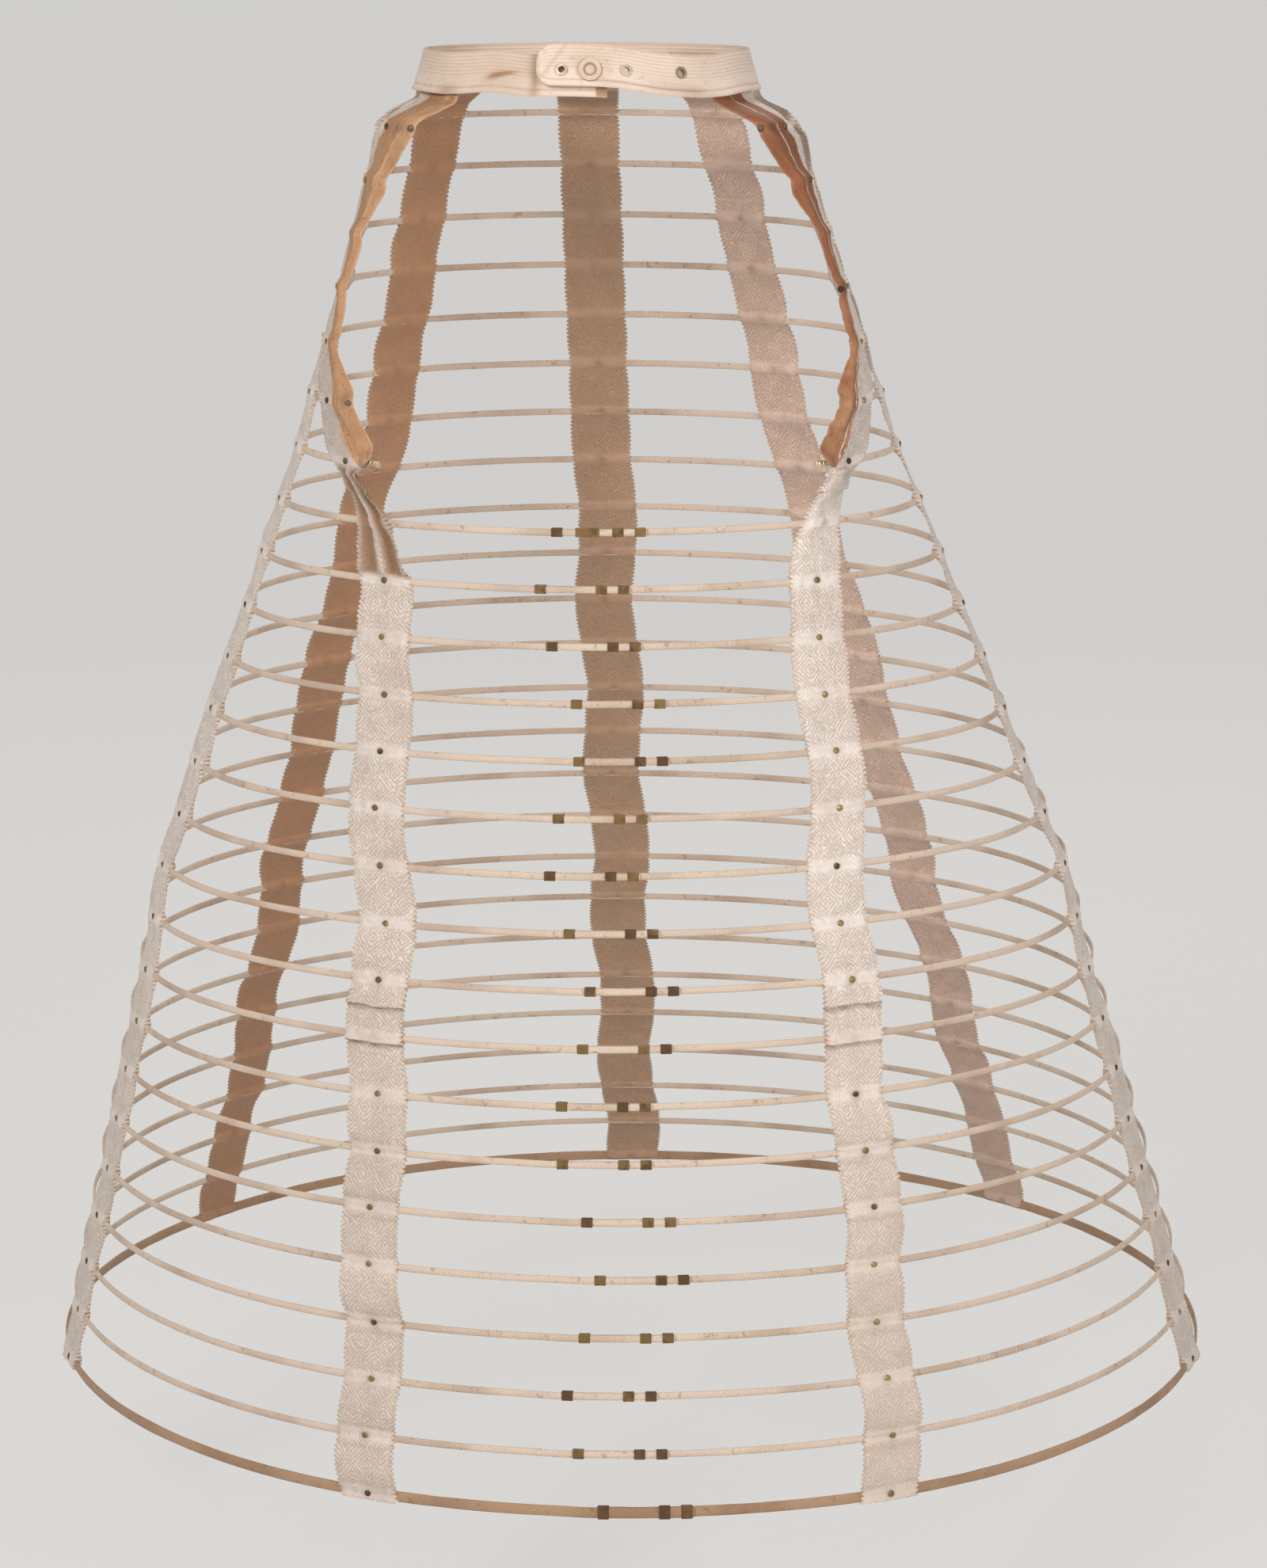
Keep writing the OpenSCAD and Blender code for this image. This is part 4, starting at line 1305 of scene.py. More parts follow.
    def fold(self, cloth: TapeCloth) -> tuple[Array, Array]:
        """Folds a front tape lengthwise where the opening ends.

        Args:
            cloth: The tape's points.

        Returns:
            The rise of each point, and the share of the width that each row keeps.
        """
        s, height, strength = cloth.s, cloth.height, cloth.fold_strength[cloth.row]
        if self.tape is Tape.FRONT_RIGHT:
            slim = np.interp(height, (6.02, 6.3, 7.0, 7.95), (1.0, 0.45, 0.76, 1.0))
            return strength * np.interp(s, (0.0, 0.14, 0.5, 1.0), (-0.4, 2.6, 1.6, 0.2)), slim
        slim = np.interp(height, (6.02, 6.3, 7.2, 7.95), (1.0, 0.34, 0.68, 1.0))
        return strength * np.interp(s, (0.0, 0.30, 0.52, 0.74, 1.0), (4.5, 0.6, 5.5, 0.0, 6.5)), slim

    def mark_points(self, piece: bpy.types.Object, cloth: TapeCloth, hoops: int, edge_share: Array) -> None:
        """Marks pockets, rust, the inner face, the edges and painted shade for the finish.

        Args:
            piece: The tape.
            cloth: The tape's points.
            hoops: Number of hoops that it crosses.
            edge_share: 1 on the edges.
        """
        row, nearest, delta, u = cloth.row, cloth.nearest, cloth.delta, cloth.u
        along = cloth.v[row]
        far = np.hypot(u, delta[row])
        random = np.random.RandomState(70 + self.tape.value)
        strength = random.uniform(0.15, 0.8, hoops)[nearest[row]]
        spread = random.uniform(2.8, 4.0, hoops)[nearest[row]]
        ragged = 1 + 0.35 * self.noise.at(u / 2.5, along / 2.5)
        rust = strength * bell(far / (spread * ragged))
        weep = 0.3 * strength * bell(u / 2.6) * np.exp(-np.clip(delta[row], 0, None) / 9)
        rust = np.maximum(rust, np.where(delta[row] > 0, weep, 0))
        # the inner face is browned, partly as stains and partly as painted shade
        inside = (cloth.side < 0).astype(float)
        crease = np.zeros(len(row))
        if self.tape.is_front:
            below = cloth.below_tuck[row] + self.wander(u)
            # painted shade: brown lines in the creases under the two tucks, and beside the pockets of the
            # lower hoops
            crease = bell((below - 17.8) / 1.4) + bell((below - 41.2) / 1.6)
            pocket_shade = np.random.RandomState(90 + self.tape.value).uniform(-0.3, 0.6, (2, hoops)).clip(0)
            lower_hoops = smooth((nearest - FORM.knee_hoop - 2) / 3)
            for place, depth in zip((-6.0, 6.5), pocket_shade):
                crease = crease + (depth[nearest] * lower_hoops * bell((delta - place) / 1.7))[row]
        # painted shade: the folded left front tape's panels are browned on either side of its pale ridge
        if self.tape is Tape.FRONT_LEFT:
            knots = (0.0, 0.1, 0.34, 0.47, 0.55, 0.66, 0.96, 1.0)
            brown = np.interp(cloth.s, knots, (0.6, 1.6, 1.8, 0.2, 0.2, 1.8, 1.8, 0.5))
            inside = np.maximum(inside, cloth.fold_strength[row] * brown)
        Bench.mark(
            piece,
            # painted shade that deepens from the twelfth hoop towards the hem
            soil=smooth((cloth.height - 12) / 11)[row],
            pocket=bell(delta / 4.8, 4)[row],
            rust=rust,
            inside=inside,
            edge=edge_share,
            crease=crease * (0.75 + 0.5 * self.noise.at(u / 6, along / 3)),
        )


@dataclass
class BraidedHoop:
    """One hoop: a braid-covered strip, lapped at the front or open there."""

    k: int
    finish: bpy.types.Material
    step: float = 6.0
    sides: int = 10
    ramp: float = 30.0
    squareness: float = 0.55
    plumpness: float = 0.06

    @property
    def is_half(self) -> bool:
        """True for a hoop that ends at the front opening."""
        return self.k < FORM.half_hoops

    def bearings(self) -> tuple[float, float]:
        """Bearings of the strip's two ends, from +X towards the back."""
        if self.is_half:
            start = FORM.half_hoop_start(self.k)
            return start - 90, 270 - start
        half = degrees_of(FORM.lap_length / 2, FORM.hoop_oval(self.k).radius(0))
        centre = FORM.lap_centre(self.k)
        return centre - half, centre + 360 + half

    def course(self) -> tuple[Array, Array, Array]:
        """Follows the strip round the cage.

        Returns:
            Its points, its outward directions and its distances from the start.
        """
        first, last = self.bearings()
        oval = FORM.hoop_oval(self.k)
        points, outs = [], []
        bearing = first
        while True:
            turn = (bearing + 90) % 360
            angle, side = (turn, 1) if turn <= 180 else (360 - turn, -1)
            points.append(oval.point(angle, side, FORM.hoop_z(self.k)))
            outs.append(outward(angle, side))
            if bearing >= last:
                break
            bearing = min(last, bearing + degrees_of(self.step, oval.radius(angle)))
        points, outs = np.array(points), np.array(outs)
        along = distances(points)
        if not self.is_half:
            start = along[-1] - FORM.lap_length - self.ramp
            lift = (FORM.hoop_thickness - FORM.lap_bite) * smooth((along - start) / (self.ramp - 4))
            points = points + outs * lift[:, None]
        return points, outs, along

    def section(self) -> tuple[Array, Array]:
        """Outline of the covered strip, as outward and upward offsets."""
        turn = np.linspace(0, 2 * np.pi, self.sides + 1)
        c, s = np.cos(turn), np.sin(turn)
        n = FORM.hoop_thickness / 2 * np.sign(c) * np.abs(c) ** self.squareness
        z = FORM.section_height(self.k) / 2 * np.sign(s) * np.abs(s) ** self.squareness
        n[-1], z[-1] = n[0], z[0]
        return n, z

    def build(self) -> bpy.types.Object:
        """Models the hoop and dresses it.

        Returns:
            The finished piece.
        """
        points, outs, along = self.course()
        rows = len(along) - 1
        node = f"half_hoop_{self.k + 1}" if self.is_half else f"hoop_{self.k - FORM.half_hoops + 1:02d}"
        piece = Bench.grid(f"braided_{node}", self.sides, rows)
        column, row = Bench.grid_places(piece, self.sides, rows)
        n, z = self.section()
        noise = SoftNoise(100 + self.k)
        plump = 1 + self.plumpness * noise.at(along / 14, 5.5)
        shaped = points[row] + outs[row] * (n[column] * plump[row])[:, None]
        shaped[:, 2] += z[column] * plump[row]
        Bench.shape(piece, shaped)
        Bench.lay_out(piece, distances(np.stack([n, z], axis=1)), along, self.sides, rows)
        Bench.close(piece)
        Bench.soften(piece, 70.0)
        Bench.hand_over(piece, node, "hoop_braid", self.finish)
        return piece


@dataclass
class Waistband:
    """The ribbed band round the waist, with its lapped ends at the front."""

    finish: bpy.types.Material
    row_step: float = 1.3
    ribs: int = 12
    rib_depth: float = 0.20
    hem_roll: float = 0.6
    corner_turn: float = 12
    corner_lift: float = 2.6
    height_share: float = 0.9
    sway_places: tuple[float, ...] = (-150, -95, -58, -26, 5, 26, 48, 72, 90, 130)
    sway_rises: tuple[float, ...] = (0.0, -1.0, 2.2, 3.6, 3.2, 1.6, 0.0, -2.6, -2.6, 0.0)
    sway_blur: float = 8.0
    eyelets: tuple[float, ...] = (-15, 26, 65)
    eyelet_cut: float = 3.1
    noise: SoftNoise = field(default_factory=lambda: SoftNoise(9))

    @staticmethod
    def front_turn(distance: float) -> float:
        """Angle of a distance from the centre front along the band."""
        return degrees_of(distance, FORM.waist_oval(0).radius(0))

    def middle(self, turn: float, z: float) -> Array:
        """A point of the band's middle surface.

        Args:
            turn: Angle from the centre front, round to the right.
            z: Height on the band.

        Returns:
            The point, in millimetres.
        """
        angle = turn - 360 if turn > 180 else turn
        side = -1 if angle < 0 else 1
        lapped = 1 - smooth((turn - self.front_turn(FORM.under_reach)) / FORM.lap_ease)
        under = smooth((turn - (360 - self.front_turn(FORM.tab_reach) - FORM.lap_ease)) / FORM.lap_ease)
        point = FORM.waist_oval(z).point(abs(angle), side, z)
        point[2] += lapped * FORM.tab_lift - under * FORM.under_drop
        return point + lapped * (FORM.band_thickness + FORM.lap_air) * outward(abs(angle), side)

    def build(self) -> bpy.types.Object:
        """Models the band and dresses it.

        Returns:
            The finished piece.
        """
        first, last = -self.front_turn(FORM.tab_reach), 360 + self.front_turn(FORM.under_reach)
        rows, columns = int((last - first) / self.front_turn(self.row_step)), 4 * self.ribs
        turns = np.linspace(first, last, rows + 1)
        along = distances(np.array([self.middle(turn, 0.0) for turn in turns]))
        inside = FORM.tab_corner - np.minimum(along, FORM.tab_corner)
        height_whole = FORM.band_height * self.height_share
        halves = height_whole / 2 - FORM.tab_corner + np.sqrt(FORM.tab_corner**2 - inside**2)
        piece = Bench.grid("ribbed_waistband", columns, rows)
        column, row = Bench.grid_places(piece, columns, rows)
        share = np.linspace(-1.0, 1.0, columns + 1)
        points = np.empty((len(column), 3))
        from_front = np.where(turns > 180, turns - 360, turns) / self.front_turn(1.0)
        sway = np.interp(from_front, self.sway_places, self.sway_rises)
        sway = blur(sway[:, None], self.sway_blur / self.row_step)[:, 0]
        for i, turn in enumerate(turns):
            top, bottom = (self.middle(turn, sway[i] + half) for half in (halves[i], -halves[i]))
            mask = row == i
            at = (share[column[mask]] + 1) / 2
            points[mask] = bottom + (top - bottom) * at[:, None]
        out = points.copy()
        out[:, 2] = 0
        out /= np.linalg.norm(out, axis=1, keepdims=True)
        height = share[column] * halves[row]
        at = share[column]
        corded = 0.25 + 0.75 * smooth((at + 0.3) / 0.25)
        wave = np.cos(at * np.pi * self.ribs) * corded * (np.abs(at) < 0.97)
        ease = 0.5 * self.noise.at(along[row] / 26, height / 14 + 8)
        hemline = np.exp(-(((at + 0.70) / 0.055) ** 2))
        roll = self.hem_roll * np.exp(-(((at + 0.9) / 0.1) ** 2)) - 0.5 * hemline
        corner = (self.corner_turn - along[row]) * 0.8 + (height - 4) * 0.6
        turned = self.corner_lift * smooth(corner / 13)
        points += out * (self.rib_depth * wave + 0.6 * ease + roll + turned)[:, None]
        Bench.shape(piece, points)
        Bench.lay_out(piece, share * height_whole / 2, along, columns, rows)
        front = along[row] - FORM.tab_reach
        whole = along[-1] - FORM.tab_reach - FORM.under_reach
        stain = np.zeros(len(front))
        # Stains, and one painted shadow: the narrow upright stripe 33 mm left of the centre front, just past
        # the tab's end, stands in for the tab's cast shadow.
        for x, z, wide, tall, tilt, depth in (
            (60, -8, 17, 6, 0.0, 0.38), (76, -11, 10, 5, 0.0, 0.45), (-4, 2, 7, 7, 0.0, 0.2),
            (whole - 55, -1, 9, 1.5, 0.22, 0.95), (whole - 62, -3, 6, 2.6, 0.22, 0.6),
            (whole - 80, 0, 45, 40, 0.0, 0.25), (whole - 45, 0, 15, 30, 0.0, 0.25),
            (whole - 33, 0, 3.2, 30, 0.0, 0.7), (whole - 98, -12, 9, 5, 0.0, 0.6),
        ):
            off = front - x
            stain = stain + depth * np.exp(-((off / wide) ** 2) - (((height - z - tilt * off) / tall) ** 2))
        stain = stain + 1.1 * smooth((along[row] - along[-1] + 8.0) / 1.5)
        stain = stain + 0.5 * hemline * smooth((front - 2) / 10) * smooth((90 - front) / 12)
        stain = stain + 0.35 * bell(corner / 1.6) * (along[row] < 24)
        # painted shade: the hollows between the cords and the hem line are darkened
        rib = np.maximum((1 - np.cos(at * np.pi * self.ribs)) / 2 * corded, 1.2 * hemline)
        # rims and tab end: partly wear and stitching, partly painted shade along the tab's outline
        rim = np.maximum(smooth((np.abs(at) - 0.9) / 0.1), smooth((2.5 - along[row]) / 2.0))
        Bench.mark(piece, rib=rib, stain=stain, edge=rim)
        self.punch(piece)
        Bench.thicken(piece, FORM.band_thickness)
        Bench.soften(piece, 50.0)
        Bench.hand_over(piece, "waistband", "band_cotton", self.finish)
        return piece

    def punch(self, piece: bpy.types.Object) -> None:
        """Opens the band where the eyelets go through it."""
        spots = [self.middle(self.front_turn(place), 0.0) * MM for place in self.eyelets]
        reach = self.eyelet_cut * MM
        Bench.pick_faces(
            piece, lambda face: any(np.linalg.norm(np.array(face.center) - spot) < reach for spot in spots)
        )
        bpy.ops.mesh.delete(type="FACE")
        bpy.ops.object.mode_set(mode="OBJECT")


@dataclass
class RingButton:
    """The ring button on the tab: cloth drawn over a ring, so that its middle sinks."""

    finish: bpy.types.Material
    diameter: float = 15
    thickness: float = 1.8
    ring: float = 2.6
    sink: float = 1.3
    rim: float = 0.5
    slope: float = 0.9
    pad: float = 1.2
    rounding: float = 0.45

    def build(self, turn: float, band: Waistband) -> bpy.types.Object:
        """Models the button and dresses it.

        Args:
            turn: Angle of the button from the centre front.
            band: The band that it is sewn on.

        Returns:
            The finished piece.
        """
        low, high = (np.array(corner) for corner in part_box("waistband_button"))
        piece = Bench.drum(48, self.diameter / 2, self.thickness)
        piece.name = piece.data.name = "covered_ring_button"
        Bench.pick_faces(piece, faces_up)
        for thickness in (self.rim, self.ring, self.slope):
            bpy.ops.mesh.inset(thickness=thickness * MM)
        bpy.ops.transform.translate(value=(0.0, 0.0, -self.sink * MM))
        bpy.ops.mesh.inset(thickness=self.pad * MM)
        bpy.ops.object.mode_set(mode="OBJECT")
        Bench.round_edges(piece, self.rounding, 3)
        radius = np.array([math.hypot(v.co.x, v.co.y) / MM for v in piece.data.vertices])
        foot = np.array([v.co.z / MM for v in piece.data.vertices]) < -0.6
        inner = self.diameter / 2 - self.ring - 1.2
        # painted shadow: marks the sunk ring inside the rim and the underside
        Bench.mark(piece, groove=np.maximum(bell((radius - inner) / 0.7), foot))
        up = band.middle(turn, 4.0) - band.middle(turn, -4.0)
        out = np.cross(band.middle(turn + 2.0, 0.0) - band.middle(turn - 2.0, 0.0), up)
        piece.rotation_euler = Vector(out).to_track_quat("Z", "Y").to_euler()
        piece.location = (low + high) / 2
        Bench.settle()
        Bench.soften(piece, 60.0)
        Bench.hand_over(piece, "waistband_button", "button_cloth", self.finish)
        return piece


@dataclass
class LeatherFacing:
    """A leather strip folded round a front tape's edge, with its flap turned in."""

    tape: Tape
    finish: bpy.types.Material
    row_step: float = 1.5
    columns: int = 34
    round_spread: float = 2.2
    end_round: float = 8.0
    end_cup: float = 3.4
    wear: float = 1.3
    scallop: float = 0.4
    slim: float = 0.74
    waist_slim: float = 0.55
    top_slim: float = 0.70
    outer_most: float = 25.0
    noise: SoftNoise = field(init=False)

    def __post_init__(self) -> None:
        """Draws the strip's own noise."""
        self.noise = SoftNoise(20 + self.tape.value)

    def profile(
        self, spot: Spot, u: float, z: float, face: float, outer: float, flap: float, turn: float
    ) -> Array:
        """One row of the strip, from its edge on the tape to the flap's free edge.

        Args:
            spot: The spot on the cage.
            u: Drift along the hoop.
            z: Height above the spot.
            face: How far the tape's outer face stands out.
            outer: Width of the strip on the tape's outer face.
            flap: Width of the flap.
            turn: Angle that the flap is turned in by.

        Returns:
            The row's points, evenly spaced.
        """
        middle = face + FORM.facing_gap + FORM.facing_thickness / 2
        start = FORM.tape_width / 2 - outer
        fold = FORM.tape_width / 2 + FORM.soft_gap + FORM.facing_thickness / 2
        bent = math.radians(turn)
        whole = fold - start + flap
        places = []
        for at in np.linspace(0.0, whole, self.columns + 1):
            if at <= fold - start:
                across_u, out_n = start + at, middle
            else:
                on_flap = at - (fold - start)
                cup = bent * (0.72 + 0.28 * smooth(on_flap / flap)) if turn > 20 else bent
                across_u = fold + on_flap * math.cos(cup)
                out_n = middle - on_flap * math.sin(cup)
            places.append(spot.place(u - self.tape.side * across_u, z, out_n))
        return np.array(places)

    def stations(self) -> tuple[list[Array], list[float], list[float]]:
        """The strip's rows at the waist and at each half hoop it passes.

        Returns:
            The rows, which of them are at a hoop, and the width on the tape's outer face at each.
        """
        top, outer = FORM.facing_flaps[0] * self.waist_slim, min(FORM.facing_outers[0], self.outer_most)
        rows, hoops, outers = [], [], [outer, outer]
        for z in (FORM.tape_top, FORM.tape_exit):
            spot = FORM.at_waist(self.tape, z)
            rows.append(self.profile(spot, 0, 0, FORM.tape_layer, outer, top, FORM.facing_waist_turn))
        for k in range(FORM.half_hoops):
            spot = FORM.crossing(self.tape, k)
            lean_u, lean_n = FORM.leans(self.tape, k)
            rise = FORM.pocket_rise(k)
            reach = rise + FORM.pocket_taper
            outer = min(FORM.facing_outer(k), self.outer_most)
            flap = FORM.facing_flap(k) * mix(self.top_slim, self.slim, smooth((k - 1) / 2))
            turn = mix(FORM.facing_waist_turn, FORM.facing_turn, smooth((k + 1) / 2))
            for z in (reach, rise, -rise, -reach):
                closed = abs(z) > rise
                sag = FORM.sag(FORM.crossing_radius(self.tape, k))
                face = z * lean_n + FORM.tape_layer - sag / 2 if closed else FORM.pocket_face
                if k == FORM.half_hoops - 1:
                    flap = FORM.facing_flaps[2] * self.slim * {reach: 0.8, rise: 0.5}.get(z, 0.35)
                rows.append(self.profile(spot, z * lean_u if closed else 0, z, face, outer, flap, turn))
                outers.append(outer)
                if z == -rise:
                    hoops.append(len(rows) - 1.5)
                    if k == FORM.half_hoops - 1:
                        break
        return rows, hoops, outers

    def trim(self, surface: Array, v: Array) -> Array:
        """Wears the strip's edges ragged and rounds its lower end.

        Args:
            surface: The strip's points, by row and column.
            v: Distance of each row.

        Returns:
            The trimmed strip, with as many points.
        """
        share = np.linspace(0.0, 1.0, self.columns + 1)
        lengths = v[-1] - self.end_round * (2 * share - 1) ** 2 - self.wear * self.noise.at(share * 9, 2.5)
        kept = lengths / lengths.max()
        ended = np.stack([resample(v * kept[c], v, surface[:, c]) for c in range(self.columns + 1)], axis=1)
        widths = np.linalg.norm(np.diff(ended, axis=1), axis=2).sum(axis=1)
        frayed = 1.0 + self.noise.at(v / 4, 3.5) + 0.6 * self.noise.at(v / 1.7, 9.5)
        waved = 0.8 + self.noise.at(v / 7, 31.5) + 0.4 * self.noise.at(v / 2.1, 17.5)
        first, last = self.wear * frayed.clip(0) / widths, self.scallop * waved.clip(0) / widths
        return np.array([
            resample(first[r] + share * (1 - first[r] - last[r]), share, ended[r]) for r in range(len(v))
        ])

    def build(self) -> bpy.types.Object:
        """Models the facing and dresses it.

        Returns:
            The finished piece.
        """
        stations, hoops, outers = self.stations()
        table = np.array(stations)
        distance = distances(table.mean(axis=1))
        rows = int(distance[-1] / self.row_step)
        v = np.linspace(0.0, distance[-1], rows + 1)
        sampled = resample(v, distance, table.reshape(len(table), -1))
        rounded = blur(sampled, self.round_spread / self.row_step)
        surface = self.trim(rounded.reshape(rows + 1, self.columns + 1, 3), v)
        widths = np.linalg.norm(np.diff(surface, axis=1), axis=2)
        from_start = np.concatenate([np.zeros((rows + 1, 1)), np.cumsum(widths, axis=1)], axis=1)
        on_tape = np.interp(v, distance, outers) * (1.0 if self.tape.side < 0 else 0.62)
        piece = Bench.grid(f"leather_facing_{self.tape.label}", self.columns, rows)
        column, row = Bench.grid_places(piece, self.columns, rows)
        du, dv = np.gradient(surface, axis=1), np.gradient(surface, axis=0)
        normal = np.cross(du, dv)
        normal /= np.linalg.norm(normal, axis=2, keepdims=True)
        normal *= np.sign((normal[:, 0, 0] * surface[:, 0, 0]).sum())
        share = np.linspace(0.0, 1.0, self.columns + 1)
        free = smooth((share - 0.4) / 0.6)[column]
        wave = self.noise.at(v[row] / 19, share[column] * 1.4) * (0.5 + 0.6 * self.scallop) * free
        wave = wave + 0.25 * self.noise.at(v[row] / 5, share[column] * 6)
        low = smooth((v[row] - v[-1] + 38) / 26)
        wave = wave + self.end_cup * low * ((2 * share[column] - 1) ** 2 + 0.15)
        points = surface[row, column] + normal[row, column] * wave[:, None]
        Bench.shape(piece, points)
        width = float(from_start[:, -1].mean())
        Bench.lay_out(piece, share * width, v, self.columns, rows)
        rim = np.maximum(smooth((share - 0.93) / 0.06), smooth((0.06 - share) / 0.05))
        rust = np.zeros(len(column))
        random = np.random.RandomState(5 + self.tape.value)
        for k in (0, FORM.half_hoops - 2 if self.tape.side < 0 else FORM.half_hoops - 4):
            spot = np.interp(hoops[k], np.arange(len(distance)), distance)
            far = np.hypot(v[row] - spot, (share[column] - 0.68) * width)
            rust = np.maximum(rust, random.uniform(0.5, 1.0) * bell(far / random.uniform(3, 5)))
        uneven = 0.75 + 0.45 * self.noise.at(v[row] / 12, share[column] * 3 + 50)
        stitch = bell((from_start - on_tape[:, None]) / 0.9)[row, column]
        Bench.mark(
            piece,
            edge=np.maximum(rim[column], np.where(row == rows, 1.0, 0.0)),
            rust=rust,
            # paler towards the lower end
            fade=smooth((v / v[-1] - 0.52) / 0.22)[row] * uneven,
            seam=stitch * (0.35 + 0.65 * (self.noise.at(v[row] / 2.6, 44.5) > -0.25)),
        )
        Bench.thicken(piece, FORM.facing_thickness)
        Bench.soften(piece, 45.0)
        Bench.hand_over(piece, f"facing_{self.tape.label}", "facing_leather", self.finish)
        return piece


@dataclass
class HoopFerrules:
    """The two crimped sleeves on the ends of the lowest half hoop."""

    finish: bpy.types.Material
    mouth: float = 1.0
    half_height: float = 2.75
    half_depth: float = 1.4
    bore: float = 0.6
    bore_depth: float = 1.2
    steps: tuple[tuple[float, float], ...] = (
        (0.6, 1.0), (0.35, 0.84), (0.5, 0.84), (0.35, 1.0), (2.6, 1.0),
        (0.35, 0.84), (0.5, 0.84), (0.35, 1.0), (0.9, 1.0), (0.3, 0.9),
    )
    first: float = 0.4
    rounding: float = 0.12

    def sleeve(self, side: int) -> bpy.types.Object:
        """Models one sleeve: a drum drawn out step by step, with a sunk end.

        Args:
            side: -1 on the left of the opening, and 1 on the right.

        Returns:
            The sleeve in its place.
        """
        k = FORM.half_hoops - 1
        oval = FORM.hoop_oval(k)
        turn = FORM.front_angle(k)
        turn -= degrees_of(FORM.tape_width / 2 + self.mouth, FORM.crossing_radius(Tape.FRONT_RIGHT, k))
        piece = Bench.drum(32, 1.0, self.first)
        piece.location.z = self.first * MM / 2
        Bench.settle()
        Bench.pick_faces(piece, faces_up)
        height, size = self.first * MM, 1.0
        for step, scale in self.steps:
            height += step * MM
            bpy.ops.mesh.extrude_region_move(TRANSFORM_OT_translate={"value": (0.0, 0.0, step * MM)})
            grow = scale / size
            bpy.ops.transform.resize(value=(grow, grow, 1.0), center_override=(0.0, 0.0, height))
            size = scale
        bpy.ops.mesh.inset(thickness=(size - self.bore) * MM)
        bpy.ops.mesh.extrude_region_move(TRANSFORM_OT_translate={"value": (0.0, 0.0, -self.bore_depth * MM)})
        bpy.ops.object.mode_set(mode="OBJECT")
        piece.scale = (self.half_depth, self.half_height, 1.0)
        Bench.settle()
        forward = -side * across(turn, side)
        out = outward(turn, side)
        piece.matrix_world = Matrix((
            (out[0], 0.0, forward[0], 0.0),
            (out[1], 0.0, forward[1], 0.0),
            (0.0, 1.0, 0.0, 0.0),
            (0.0, 0.0, 0.0, 1.0),
        ))
        piece.location = oval.point(turn, side, FORM.hoop_z(k)) * MM
        Bench.settle()
        return piece

    def build(self) -> bpy.types.Object:
        """Models both sleeves as one piece and dresses it.

        Returns:
            The finished piece.
        """
        pair = [self.sleeve(side) for side in (-1, 1)]
        Bench.deselect()
        for sleeve in pair:
            sleeve.select_set(True)
        piece = pair[0]
        bpy.context.view_layer.objects.active = piece
        bpy.ops.object.join()
        piece.name = piece.data.name = "crimped_ferrules"
        Bench.face_outward()
        Bench.round_edges(piece, self.rounding, 2)
        Bench.soften(piece, 50.0)
        Bench.hand_over(piece, "hoop_end_ferrules", "ferrule_brass", self.finish)
        return piece


@dataclass
class Fittings:
    """The studs, clips and eyelets, whose solids already have their shape."""

    brass_studs: bpy.types.Material
    iron_studs: bpy.types.Material
    clips: bpy.types.Material
    eyelets: bpy.types.Material

    def dress(self) -> None:
        """Gives each solid its finish."""
        wanted = {
            "tape_studs_": self.brass_studs,
            "facing_studs_": self.iron_studs,
            "hoop_clips": self.clips,
            "waistband_eyelets": self.eyelets,
        }
        for name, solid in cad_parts.items():
            for start, finish in wanted.items():
                if name.startswith(start):
                    for slot in solid.material_slots:
                        slot.material = finish
                    LOG.info("%s: %s", name, finish.name)


